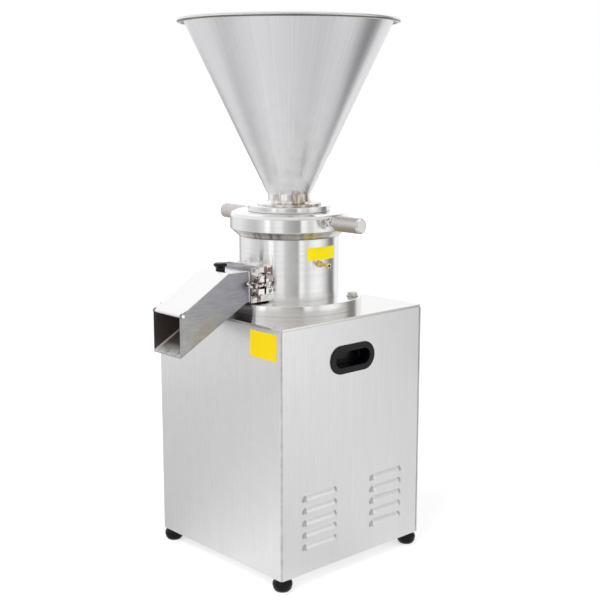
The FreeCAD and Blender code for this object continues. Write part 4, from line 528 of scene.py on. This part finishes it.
def second_finish(obj, finish, picks):
    """Another finish on the faces that a test picks by their middle in mm and their direction."""
    obj.data.materials.append(FINISH[finish])
    last = len(obj.data.materials) - 1
    for face in obj.data.polygons:
        if picks(face.center / MM, face.normal):
            face.material_index = last


def tidy_solid(mesh, flat=0.2):
    """The loose triangles of a solid joined up, with its flat faces made whole."""
    work = bmesh.new()
    work.from_mesh(mesh)
    bmesh.ops.remove_doubles(work, verts=work.verts, dist=0.000002)
    bmesh.ops.dissolve_limit(work, angle_limit=math.radians(flat), verts=work.verts, edges=work.edges)
    work.to_mesh(mesh)
    work.free()
    return mesh


def dress(part, finish, bevel=0.0, segments=2, angle=30.0):
    """A copy of a solid with its edges eased and its flat faces shaded flat, dressed in a finish."""
    mesh = tidy_solid(frame["nodes"][part].data.copy())
    shade(mesh, angle)
    obj = to_object(part + "_finished", mesh)
    if bevel:
        ease = obj.modifiers.new("eased_edges", "BEVEL")
        ease.width = bevel * MM
        ease.segments = segments
        ease.limit_method = "ANGLE"
        ease.angle_limit = math.radians(angle)
        ease.use_clamp_overlap = False
        ease.miter_outer = "MITER_ARC"
        ease.harden_normals = True
    else:
        even = obj.modifiers.new("even_shading", "WEIGHTED_NORMAL")
        even.keep_sharp = True
        even.weight = 100
    evaluated(obj)
    obj.data.materials.clear()
    obj.data.materials.append(FINISH[finish])
    return settle(obj, part)


def soften(corners, steps=5):
    """A closed outline in mm from corners (x, y, radius), each rounded, with a close point on each side.

    A radius shrinks where its corner's sides are too short for it.
    """
    made = []
    for i, corner in enumerate(corners):
        here = Vector(corner[:2])
        radius = corner[2] if len(corner) > 2 else 0.0
        back = Vector(corners[i - 1][:2]) - here
        ahead = Vector(corners[(i + 1) % len(corners)][:2]) - here
        half = back.angle(ahead) / 2
        if not radius or half > math.radians(88):
            made.append(here)
            continue
        run = min(radius / math.tan(half), 0.42 * back.length, 0.42 * ahead.length)
        radius = run * math.tan(half)
        back.normalize()
        ahead.normalize()
        centre = here + (back + ahead).normalized() * (radius / math.sin(half))
        start, end = here + back * run - centre, here + ahead * run - centre
        sweep = start.angle(end)
        made.append(here + back * run * 1.12)
        for k in range(steps + 1):
            share = k / steps
            out = start * math.sin((1 - share) * sweep) + end * math.sin(share * sweep)
            made.append(centre + out / math.sin(sweep))
        made.append(here + ahead * run * 1.12)
    return [(p[0], p[1]) for p in made]


def arc(centre, radius, first, last, steps):
    """Points on an arc in mm, its angles in degrees."""
    turns = [math.radians(first + (last - first) * k / steps) for k in range(steps + 1)]
    return [(centre[0] + radius * math.cos(t), centre[1] + radius * math.sin(t)) for t in turns]


def geometry_tree(name, inputs):
    """An empty geometry tree with named inputs; returns the tree, its input sockets and its output node."""
    tree = bpy.data.node_groups.new(name, "GeometryNodeTree")
    for label, kind in inputs:
        tree.interface.new_socket(label, in_out="INPUT", socket_type="NodeSocket" + kind)
    tree.interface.new_socket("Shape", in_out="OUTPUT", socket_type="NodeSocketGeometry")
    return tree, tree.nodes.new("NodeGroupInput").outputs, tree.nodes.new("NodeGroupOutput")


def end_tree(tree, shape, finish, result):
    """The end that every geometry tree has: real faces with their finish."""
    real = node(tree, "GeometryNodeRealizeInstances", {0: shape}).outputs[0]
    dressed = node(tree, "GeometryNodeSetMaterial", {"Geometry": real, "Material": finish}).outputs[0]
    tree.links.new(dressed, result.inputs[0])
    return tree


def turning_tree():
    """Turns the points of a closed outline, in x and z, round the upright axis."""
    tree, given, result = geometry_tree("turned_piece", [
        ("Outline", "Geometry"), ("Steps round", "Int"), ("Finish", "Material")])
    count = node(tree, "GeometryNodeAttributeDomainSize", {0: given["Outline"]}).outputs["Point Count"]
    rows = calc(tree, "ADD", given["Steps round"], 1.0)
    grid = node(tree, "GeometryNodeMeshGrid", {
        "Vertices X": calc(tree, "ADD", count, 1.0), "Vertices Y": rows}).outputs["Mesh"]
    index = node(tree, "GeometryNodeInputIndex").outputs[0]
    along = calc(tree, "FLOOR", calc(tree, "DIVIDE", calc(tree, "ADD", index, 0.5), rows))
    step = calc(tree, "SUBTRACT", index, calc(tree, "MULTIPLY", along, rows))
    turn = calc(tree, "DIVIDE", calc(tree, "MULTIPLY", step, 2 * math.pi), given["Steps round"])
    point = node(tree, "GeometryNodeSampleIndex", {
        "Geometry": given["Outline"], "Index": calc(tree, "MODULO", along, count)}, data_type="FLOAT_VECTOR")
    tree.links.new(node(tree, "GeometryNodeInputPosition").outputs[0], point.inputs["Value"])
    x, y, z = split(tree, point.outputs[0])
    place = join(tree, calc(tree, "MULTIPLY", x, calc(tree, "COSINE", turn)),
                 calc(tree, "MULTIPLY", x, calc(tree, "SINE", turn)), z)
    moved = node(tree, "GeometryNodeSetPosition", {"Geometry": grid, "Position": place}).outputs[0]
    closed = node(tree, "GeometryNodeMergeByDistance", {"Geometry": moved, "Distance": 0.000002}).outputs[0]
    return end_tree(tree, closed, given["Finish"], result)


def setting_tree():
    """Sets one piece out at points, each turned loosely about its own axis, and tilts the whole."""
    tree, given, result = geometry_tree("pieces_set_out", [
        ("Places", "Geometry"), ("Piece", "Object"), ("Loose turn", "Float"), ("Tilt", "Vector"),
        ("Seed", "Int"), ("Finish", "Material")])
    piece = node(tree, "GeometryNodeObjectInfo", {"Object": given["Piece"]}).outputs["Geometry"]
    chance = node(tree, "FunctionNodeRandomValue", {"Seed": given["Seed"]}, data_type="FLOAT")
    turn = join(tree, 0.0, 0.0, calc(tree, "MULTIPLY", chance.outputs[1], given["Loose turn"]))
    set_out = node(tree, "GeometryNodeInstanceOnPoints", {
        "Points": given["Places"], "Instance": piece, "Rotation": turn}).outputs[0]
    tilted = node(tree, "GeometryNodeTransform", {"Geometry": set_out, "Rotation": given["Tilt"]}).outputs[0]
    return end_tree(tree, tilted, given["Finish"], result)


def weld_tree():
    """Lays small overlapping ripples of weld along a line."""
    tree, given, result = geometry_tree("weld_line", [
        ("Line", "Geometry"), ("Pitch", "Float"), ("Size", "Float"), ("Seed", "Int"), ("Finish", "Material")])
    line = node(tree, "GeometryNodeMeshToCurve", {"Mesh": given["Line"]}).outputs[0]
    spaced = node(tree, "GeometryNodeResampleCurve", {"Curve": line, "Length": given["Pitch"]}, mode="LENGTH")
    ripple = node(tree, "GeometryNodeMeshUVSphere", {
        "Segments": 10, "Rings": 6, "Radius": given["Size"]}).outputs["Mesh"]
    tangent = node(tree, "GeometryNodeInputTangent").outputs[0]
    facing = node(tree, "FunctionNodeAlignRotationToVector", {"Vector": tangent}, axis="Z").outputs[0]
    size = node(tree, "FunctionNodeRandomValue", {2: 0.85, 3: 1.1, "Seed": given["Seed"]}, data_type="FLOAT")
    laid = node(tree, "GeometryNodeInstanceOnPoints", {
        "Points": spaced.outputs[0], "Instance": ripple, "Rotation": facing,
        "Scale": join(tree, size.outputs[1], size.outputs[1], 0.8)}).outputs[0]
    return end_tree(tree, laid, given["Finish"], result)


TREES = {"turned": turning_tree(), "set_out": setting_tree(), "weld": weld_tree()}


def grow(name, source, tree, inputs):
    """A piece made by a geometry tree from a source mesh, then turned into a plain mesh."""
    obj = to_object(name, source)
    shape = obj.modifiers.new("shape", "NODES")
    shape.node_group = TREES[tree]
    for item in TREES[tree].interface.items_tree:
        if item.item_type == "SOCKET" and item.in_out == "INPUT" and item.name in inputs:
            shape[item.identifier] = inputs[item.name]
    return evaluated(obj)


def face_outwards(mesh):
    """All faces of a closed mesh pointed out of it."""
    work = bmesh.new()
    work.from_mesh(mesh)
    bmesh.ops.remove_doubles(work, verts=work.verts, dist=0.000002)
    bmesh.ops.dissolve_degenerate(work, dist=0.000001, edges=work.edges)
    bmesh.ops.recalc_face_normals(work, faces=work.faces)
    work.to_mesh(mesh)
    work.free()


def turned(name, outline, finish, steps=128, place=None, angle=32.0):
    """A turned piece from a closed outline of (radius, level) in mm, moved by a matrix where given."""
    source = bpy.data.meshes.new(name)
    source.from_pydata([(r * MM, 0.0, z * MM) for r, z in outline], [], [])
    obj = grow(name, source, "turned", {"Steps round": steps, "Finish": FINISH[finish]})
    face_outwards(obj.data)
    if place:
        obj.data.transform(place)
    shade(obj.data, angle)
    return obj


def set_out(name, piece, places, finish, loose_turn=0.0, tilt=(0.0, 0.0, 0.0), seed=3):
    """Copies of a piece at places in mm; the piece's own axis is upright before the tilt."""
    from_tilt = Matrix.LocRotScale(None, Matrix.Rotation(tilt[0], 3, "X"), None).inverted()
    source = bpy.data.meshes.new(name)
    source.from_pydata([from_tilt @ (Vector(p) * MM) for p in places], [], [])
    obj = grow(name, source, "set_out", {
        "Piece": piece, "Loose turn": loose_turn, "Tilt": tilt, "Seed": seed, "Finish": FINISH[finish]})
    bpy.data.objects.remove(piece)
    shade(obj.data, 32.0)
    return obj


def one_mesh(name, parts):
    """Several objects' meshes in one object."""
    work = bmesh.new()
    for part in parts:
        work.from_mesh(part.data)
        bpy.data.objects.remove(part)
    mesh = bpy.data.meshes.new(name)
    work.to_mesh(mesh)
    work.free()
    shade(mesh, 32.0)
    return to_object(name, mesh)


def hexagon_head(name, flats, height, low=0.0):
    """A hexagon head in mm with the curved chamfer that turning its top leaves."""
    sides, per_side, chamfer = 6, 6, math.radians(28)
    mesh = bpy.data.meshes.new(name)
    work = bmesh.new()
    rings = []
    count = sides * per_side
    top_r = flats / 2 * 0.96
    for level in ("low", "edge", "top"):
        ring = []
        for k in range(count):
            turn = 2 * math.pi * k / count
            from_flat = (turn + math.pi / sides) % (2 * math.pi / sides) - math.pi / sides
            reach = flats / 2 / math.cos(from_flat)
            drop = (reach - top_r) * math.tan(chamfer)
            r, z = {"low": (reach, low), "edge": (reach, height - drop), "top": (top_r, height)}[level]
            ring.append(work.verts.new((r * math.cos(turn) * MM, r * math.sin(turn) * MM, z * MM)))
        rings.append(ring)
    for lower, upper in zip(rings, rings[1:]):
        for k in range(count):
            nxt = (k + 1) % count
            work.faces.new((lower[k], lower[nxt], upper[nxt], upper[k]))
    work.faces.new(reversed(rings[0]))
    work.faces.new(rings[-1])
    work.to_mesh(mesh)
    work.free()
    shade(mesh, 20.0)
    return to_object(name, mesh)


# The pieces


def make_hopper():
    """Spun cone with a wired rim, its wall 1.5 mm thick."""
    outline = soften([(34.64, 605.5), (36.3, 605.5), (169.0, 880.75, 2.5), (172.4, 880.75)])
    outline += arc((176.0, 880.5), 3.5, 186, 510, 20)
    outline += soften([(172.0, 882.25), (168.06, 882.25, 2.0), (34.64, 605.6)])[1:-1]
    cone = settle(turned("hopper_cone", outline, "hopper", 192), "hopper")
    # The faces that look down under the rolled rim are painted dark: a painted shade line under the bead.
    second_finish(cone, "underside", lambda at, way: way.z < -0.25 and at.z > 877.5)


def make_neck():
    """The turned neck that carries the cone, with its foot flange and spigot."""
    outline = soften([
        (30.0, 579.2, 0.4), (39.6, 579.2, 0.6), (39.6, 586.5), (53.4, 586.5, 0.5), (53.4, 589.7, 0.9),
        (34.2, 589.7, 5.0), (34.2, 604.9, 0.4), (33.4, 605.4), (33.4, 608.6, 0.3), (30.0, 608.6, 0.4)])
    settle(turned("hopper_neck_turned", outline, "neck", 128), "hopper_neck")


def make_cover_and_ring():
    """The feed cover and the adjusting ring, both turned and polished."""
    cover = soften([(31.2, 577.3, 0.5), (68.6, 577.3, 0.5), (68.6, 586.5, 1.0), (31.2, 586.5, 0.6)])
    settle(turned("feed_cover_turned", cover, "turned", 144), "feed_cover")
    ring = soften([
        (76.3, 537.0, 0.3), (84.0, 537.0, 0.8), (97.5, 549.0, 3.0), (97.5, 570.4, 4.0), (95.1, 574.8, 3.0),
        (89.5, 577.0, 2.0), (62.3, 577.0, 0.4), (62.3, 561.7, 0.3), (76.3, 561.7, 0.3)])
    ring = settle(turned("adjusting_ring_turned", ring, "turned", 160), "adjusting_ring")
    # The ring's down-facing faces get the darker steel: painted shade.
    second_finish(ring, "chamfer", lambda at, way: way.z < -0.35)


def make_sleeve_and_base_flange():
    """The jacket's polished sleeve, from its solid, and the turned flange that the mill stands on."""
    dress("jacket_sleeve", "sleeve", 0.35)
    flange = soften([
        (27.0, 420.0, 0.3), (121.5, 420.0, 0.4), (121.5, FLANGE_TOP, 1.2), (27.0, FLANGE_TOP, 0.3)])
    settle(turned("base_flange_turned", flange, "turned", 176), "base_flange")


def make_handles():
    """Two grips on their studs along X."""
    grip = soften([
        (7.25, 0.0), (10.0, 0.0, 0.5), (GRIP_R, 2.5, 0.8), (GRIP_R, 52.6, 1.2), (9.6, 55.5, 1.2),
        (0.001, 55.5), (0.001, 22.0), (7.25, 22.0)])
    for side, name in ((1, "right"), (-1, "left")):
        start = Matrix.Translation((side * GRIP_START_X * MM, 0, GRIP_LEVEL * MM))
        lie = start @ Matrix.Rotation(side * math.pi / 2, 4, "Y")
        settle(turned("grip_" + name, grip, "grip", 72, lie), "handle_grip_" + name)
    dress("handle_studs", "bolt", 0.3)


def make_feet():
    """Four round rubber feet that bulge low down, each with a moulded collar."""
    foot = soften([
        (7.5, 0.0, 0.5), (11.5, 0.0, 1.5), (14.6, 4.0, 4.0), (16.0, 10.0, 3.0), (15.6, 14.0, 2.5),
        (13.2, 17.0, 1.6), (12.5, 20.0, 0.3), (4.2, 20.0), (4.2, 7.0), (7.5, 7.0, 0.5)])
    piece = turned("foot", foot, "rubber", 64)
    places = [(sx * FOOT_PLACE, sy * FOOT_PLACE, 0.0) for sx in (-1, 1) for sy in (-1, 1)]
    settle(set_out("rubber_feet_moulded", piece, places, "rubber"), "rubber_feet")


def make_knob():
    """The lid's black knob: a narrow foot that flares into a wide round cap."""
    knob = soften([
        (0.001, 490.2), (2.4, 490.2), (2.4, 491.5), (7.6, 491.5, 0.6), (7.3, 494.6, 1.0), (8.0, 496.4, 1.5),
        (10.8, 498.8, 1.2), (11.0, 501.4, 1.4), (8.4, 503.2, 2.2), (3.5, 503.6, 1.0), (0.001, 503.6)])
    lie = Matrix.Translation((0, KNOB_PLACE_Y * MM, 0))
    settle(turned("lid_knob_moulded", knob, "plastic", 64, lie), "lid_knob")


def make_flange_bolts():
    """Hexagon bolts with washers through the base flange."""
    head = hexagon_head("head", 16.0, 6.0, WASHER)
    washer = soften([(4.0, 0.0), (WASHER_R, 0.0, 0.2), (WASHER_R, WASHER, 0.4), (4.0, WASHER)])
    washer = turned("washer", washer, "bolt", 48)
    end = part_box("flange_bolts")[0][2] / MM - FLANGE_TOP
    shank = soften([(0.001, end), (5.0, end, 0.4), (5.0, 1.0), (0.001, 1.0)])
    bolt = one_mesh("bolt", [head, washer, turned("shank", shank, "bolt", 24)])
    turns = [math.radians(a) for a in BOLT_TURNS]
    places = [(BOLT_CIRCLE_R * math.cos(t), BOLT_CIRCLE_R * math.sin(t), FLANGE_TOP) for t in turns]
    settle(set_out("flange_bolts_set", bolt, places, "chamfer", 1.0), "flange_bolts")


def make_panel_screws():
    """Cross-head screws in the rear panel."""
    pan = turned("pan", soften([
        (0.001, -9.0), (2.5, -9.0, 0.3), (2.5, 0.0), (4.6, 0.0, 0.3), (4.4, 1.5, 1.2), (2.2, 2.4, 1.0),
        (0.001, 2.4)]), "bolt", 40)
    for turn in (0, math.pi / 2):
        slot = bpy.data.meshes.new("slot")
        cut = bmesh.new()
        bmesh.ops.create_cube(cut, size=1.0, matrix=Matrix.LocRotScale(
            Vector((0, 0, 0.0022)), Matrix.Rotation(turn, 3, "Z"), Vector((0.0044, 0.0008, 0.0028))))
        cut.to_mesh(slot)
        cut.free()
        tool = to_object("slot", slot)
        take = pan.modifiers.new("cross", "BOOLEAN")
        take.object = tool
        take.solver = "EXACT"
        evaluated(pan)
        bpy.data.objects.remove(tool)
    places = [(sx * SCREW_PLACE_X, SCREW_PLACE_Y, z) for sx in (-1, 1) for z in SCREW_LEVELS]
    settle(set_out("panel_screws_set", pan, places, "bolt", 3.0, (-math.pi / 2, 0, 0)), "panel_screws")


def make_weld():
    """Fine weld where the chute's channel meets its flange."""
    corners = [(35.4, -116.4, 442.0), (35.4, -116.4, 489.6)]
    lines = bpy.data.meshes.new("weld")
    ends = [Vector((side * x, y, z)) * MM for side in (-1, 1) for x, y, z in corners]
    lines.from_pydata(ends, [(0, 1), (2, 3)], [])
    obj = grow("chute_weld", lines, "weld", {
        "Pitch": 0.0011, "Size": 0.0013, "Seed": 5, "Finish": FINISH["bolt"]})
    shade(obj.data, 40.0)
    settle_extra(obj, "chute")


def make_chute_bends():
    """The small inside bends where the chute's floor turns up into its walls."""
    mouth, knee = Vector((0.0, -251.6, 372.0)), Vector((0.0, -120.4, 442.6))
    along = (knee - mouth).normalized()
    up = Vector((1.0, 0.0, 0.0)).cross(along)
    radius, steps = INSIDE_BEND_R, 6
    work = bmesh.new()
    for side in (-1, 1):
        inward = Vector((-side, 0.0, 0.0))
        rings = []
        for end in (mouth, knee):
            corner = end + Vector((side * CHUTE_HALF_INSIDE, 0.0, 0.0))
            middle = corner + radius * (inward + up)
            turns = [math.pi / 2 * k / steps for k in range(steps + 1)]
            points = [corner] + [middle - radius * (math.cos(t) * inward + math.sin(t) * up) for t in turns]
            rings.append([work.verts.new(p * MM) for p in points])
        count = len(rings[0])
        for k in range(count):
            work.faces.new((rings[0][k], rings[0][(k + 1) % count], rings[1][(k + 1) % count], rings[1][k]))
        for ring in rings:
            work.faces.new(ring)
    bmesh.ops.recalc_face_normals(work, faces=work.faces)
    mesh = bpy.data.meshes.new("chute_bends")
    work.to_mesh(mesh)
    work.free()
    shade(mesh, 40.0)
    obj = to_object("chute_bends", mesh)
    # The bends' finish glows faintly: a painted highlight inside the chute.
    mesh.materials.append(FINISH["inside_bend"])
    settle_extra(obj, "chute")


def make_sheet_parts():
    """The bent and machined pieces, from the solids with their edges eased."""
    shell = dress("cabinet_shell", "cabinet", angle=15.0)
    # The front corner bends get the darker steel: painted shade.
    second_finish(shell, "shaded_bend", lambda at, way: abs(way.x) > 0.25 and way.y < -0.25 and abs(at.x) > 150)
    dress("rear_panel", "cabinet")
    dress("base_pan", "cabinet")
    dress("cabinet_top_plate", "plate", 0.5)
    dress("mill_body", "block", 0.4)
    channel = dress("chute", "chute", 0.3)
    # The chute's underside is painted dark: painted shade, which the top plate mirrors.
    second_finish(channel, "underside", lambda at, way: way.z < -0.5 and at.y < -118)
    second_finish(channel, "block", lambda at, way: at.y > -117.0 and abs(at.x) > 36 and at.z < 495)
    # Inside walls and floor of the chute get painted shade, with a painted pool of light near the mouth.
    second_finish(channel, "inside", lambda at, way: abs(at.x) < 33.9 and way.y > -0.6 and at.y < -100)
    dress("chute_lid", "lid", 0.3)
    dress("chute_gasket", "seal")
    dress("lid_pin", "bolt", 0.3)
    dress("water_nipples", "brass", 0.2)
    dress("side_pull_right", "plastic", 1.2, 5)
    dress("side_pull_left", "plastic", 1.2, 5)
    dress("switch_box", "plastic", 0.8, 3)
    dress("start_button", "green", 0.5, 3)
    dress("stop_button", "red", 0.5, 3)
    dress("cable_gland", "plastic", 0.4)
    for part in ("swing_bolt_right", "swing_bolt_left", "swing_bolt_pins", "wing_nut_right", "wing_nut_left"):
        dress(part, "bolt", 0.35, 3)
    # A glowing film: painted light on the body sticker.
    dress("body_sticker", "film_glowing")
    dress("front_sticker", "film")


def dress_plain_solids():
    """The solids that no finished piece stands for get their own finish."""
    for name, obj in frame["nodes"].items():
        if obj.hide_render:
            continue
        mat = FINISH[SLOT_FINISH[SLOT[name]]]
        if obj.material_slots:
            obj.material_slots[0].material = mat
        else:
            obj.data.materials.append(mat)


# The studio

CAMERA_AZIMUTH = math.radians(47.62)
# Greys that the metal sees round the object, by degrees from the camera's side: far off, on the floor
# near its feet, and high on the wall.
FAR_GREYS = [
    (-180, 0.7), (-168, 0.35), (-153, 0.48), (-138, 0.83), (-106, 0.86), (-92, 0.72), (-80, 0.6), (-66, 0.54),
    (-56, 0.66), (-48, 0.8), (-43, 1.2), (-38, 1.2), (-33, 0.72), (-22, 0.95), (-14, 0.95), (-8, 0.6), (3, 0.42),
    (16, 0.33), (21, 0.36), (25, 1.05), (32, 1.0), (38, 0.72), (44, 0.72), (52, 0.95), (66, 1.05), (78, 0.95),
    (88, 0.7), (106, 0.22), (118, 0.22), (132, 1.0), (150, 0.9), (180, 0.7),
]
NEAR_GREYS = [
    (-180, 1.05), (-152, 1.0), (-139, 0.87), (-126, 0.8), (-111, 0.74), (-96, 0.565), (-84, 0.68), (-72, 0.76),
    (-43, 0.88), (-20, 0.84), (0, 0.81), (25, 0.73), (47, 0.7), (77, 0.78), (88, 0.75), (98, 0.69), (110, 0.55),
    (124, 0.44), (130, 0.9), (136, 1.15), (148, 1.2), (180, 1.05),
]
HIGH_GREYS = [
    (-180, 1.1), (-120, 0.95), (-50, 0.86), (-20, 0.7), (20, 0.6), (60, 0.78), (95, 0.7), (108, 0.3),
    (122, 0.28), (135, 1.0), (180, 1.1),
]
COOL = (1.0, 1.0, 1.0)
WARM = (1.0, 0.965, 0.92)


def grey_round(tree, greys, place, tint=COOL):
    """A grey by the direction round the upright axis, the darker ones nearer to a tint."""
    x, y, z = split(tree, place)
    turn = calc(tree, "SUBTRACT", calc(tree, "ARCTAN2", x, calc(tree, "MULTIPLY", y, -1.0)), CAMERA_AZIMUTH)
    share = calc(tree, "FRACT", calc(tree, "ADD", calc(tree, "DIVIDE", turn, 2 * math.pi), 0.5))
    ramp = node(tree, "ShaderNodeValToRGB", {0: share})
    stops = ramp.color_ramp.elements
    while len(stops) < len(greys):
        stops.new(0.5)
    for stop, (degrees, grey) in zip(stops, sorted(greys)):
        stop.position = (degrees + 180) / 360
        tinted = min((1 - grey) * 2.0, 1.0)
        stop.color = tuple(grey * (1 + (t - 1) * tinted) for t in tint) + (1,)
    return ramp.outputs["Color"]


def stage_material(name):
    """A material with an empty tree for the floor or the wall."""
    mat = bpy.data.materials.new(name)
    mat.use_nodes = True
    mat.node_tree.nodes.clear()
    return mat, mat.node_tree, node(mat.node_tree, "ShaderNodeOutputMaterial")


def make_floor():
    """A pale floor that the camera sees as white with the mill's soft shadow."""
    mesh = bpy.data.meshes.new("floor")
    reach, level = 9.0, -0.0002
    corners = [(sx * reach, sy * reach, level) for sx, sy in ((-1, -1), (1, -1), (1, 1), (-1, 1))]
    mesh.from_pydata(corners, [], [(0, 1, 2, 3)])
    obj = to_object("floor", mesh)
    mat, tree, result = stage_material("pale_floor")
    place = node(tree, "ShaderNodeTexCoord").outputs["Object"]
    far = grey_round(tree, FAR_GREYS, place)
    near = grey_round(tree, NEAR_GREYS, place)
    distance = node(tree, "ShaderNodeVectorMath", {0: place}, operation="LENGTH").outputs["Value"]
    seen = mix_colours(tree, spread(tree, distance, 1.25, 1.6), near, far)
    glow = node(tree, "ShaderNodeEmission", {"Color": seen, "Strength": 1.0})
    white = node(tree, "ShaderNodeEmission", {"Color": WHITE, "Strength": 0.55})
    matt = node(tree, "ShaderNodeBsdfDiffuse", {"Color": (0.55, 0.55, 0.55, 1)})
    path = node(tree, "ShaderNodeLightPath").outputs
    mirror = calc(tree, "MAXIMUM", path["Is Glossy Ray"], path["Is Transmission Ray"])
    extra = node(tree, "ShaderNodeMixShader", {0: path["Is Camera Ray"], 2: white.outputs[0]})
    lit = node(tree, "ShaderNodeAddShader", {0: matt.outputs[0], 1: extra.outputs[0]})
    whole = node(tree, "ShaderNodeMixShader", {0: mirror, 1: lit.outputs[0], 2: glow.outputs[0]})
    tree.links.new(whole.outputs[0], result.inputs["Surface"])
    mesh.materials.append(mat)


def make_wall():
    """A round wall of greys that only the metal sees."""
    steps, radius, height = 96, 2.3, 3.2
    turns = [2 * math.pi * k / steps for k in range(steps)]
    corners = [(radius * math.cos(t), radius * math.sin(t), z) for z in (0.0, height) for t in turns]
    faces = [(k, steps + k, steps + (k + 1) % steps, (k + 1) % steps) for k in range(steps)]
    mesh = bpy.data.meshes.new("studio_wall")
    mesh.from_pydata(corners, [], faces)
    obj = to_object("studio_wall", mesh)
    mat, tree, result = stage_material("studio_greys")
    place = node(tree, "ShaderNodeTexCoord").outputs["Object"]
    low = grey_round(tree, FAR_GREYS, place)
    high = grey_round(tree, HIGH_GREYS, place, WARM)
    seen = mix_colours(tree, spread(tree, split(tree, place)[2], 0.35, 0.75), low, high)
    glow = node(tree, "ShaderNodeEmission", {"Color": seen, "Strength": 1.0})
    tree.links.new(glow.outputs[0], result.inputs["Surface"])
    mesh.materials.append(mat)
    obj.visible_camera = False
    obj.visible_diffuse = False
    obj.visible_shadow = False


def make_world():
    """A white surround for the camera and the metal, and plain soft light for the rest."""
    world = bpy.data.worlds.new("studio")
    world.use_nodes = True
    tree = world.node_tree
    tree.nodes.clear()
    path = node(tree, "ShaderNodeLightPath").outputs
    seen = calc(tree, "MAXIMUM", path["Is Camera Ray"], path["Is Glossy Ray"])
    seen = calc(tree, "MAXIMUM", seen, path["Is Transmission Ray"])
    sky = node(tree, "ShaderNodeBackground", {"Color": WHITE, "Strength": spread(tree, seen, 0.0, 1.0, 0.6, 1.0)})
    node(tree, "ShaderNodeOutputWorld", {"Surface": sky.outputs[0]})
    bpy.context.scene.world = world


def add_sun(name, azimuth, elevation, strength, width):
    """A soft lamp, its direction given in degrees round from the camera's side and up."""
    data = bpy.data.lights.new(name, "SUN")
    data.energy = strength
    data.angle = math.radians(width)
    obj = bpy.data.objects.new(name, data)
    turn = CAMERA_AZIMUTH + math.radians(azimuth)
    up = math.radians(elevation)
    toward = Vector((math.cos(up) * math.sin(turn), -math.cos(up) * math.cos(turn), math.sin(up)))
    obj.rotation_euler = toward.to_track_quat("Z", "Y").to_euler()
    obj.visible_glossy = False
    bpy.context.scene.collection.objects.link(obj)


def make_camera():
    """The photograph's view."""
    data = bpy.data.cameras.new("camera")
    data.lens = 67.54
    data.sensor_width = 36.0
    obj = bpy.data.objects.new("camera", data)
    obj.location = (1.385, -1.2392, 0.7667)
    obj.rotation_euler = (math.radians(90 - 10.41), 0.0, CAMERA_AZIMUTH)
    bpy.context.scene.collection.objects.link(obj)
    bpy.context.scene.camera = obj


make_hopper()
make_neck()
make_cover_and_ring()
make_sleeve_and_base_flange()
make_handles()
make_feet()
make_knob()
make_flange_bolts()
make_panel_screws()
make_weld()
make_chute_bends()
make_sheet_parts()
dress_plain_solids()
make_floor()
make_wall()
make_world()
add_sun("key_lamp", -50, 50, 1.7, 45)
add_sun("fill_lamp", 60, 35, 1.0, 60)
make_camera()
bpy.context.scene.view_settings.view_transform = "Standard"
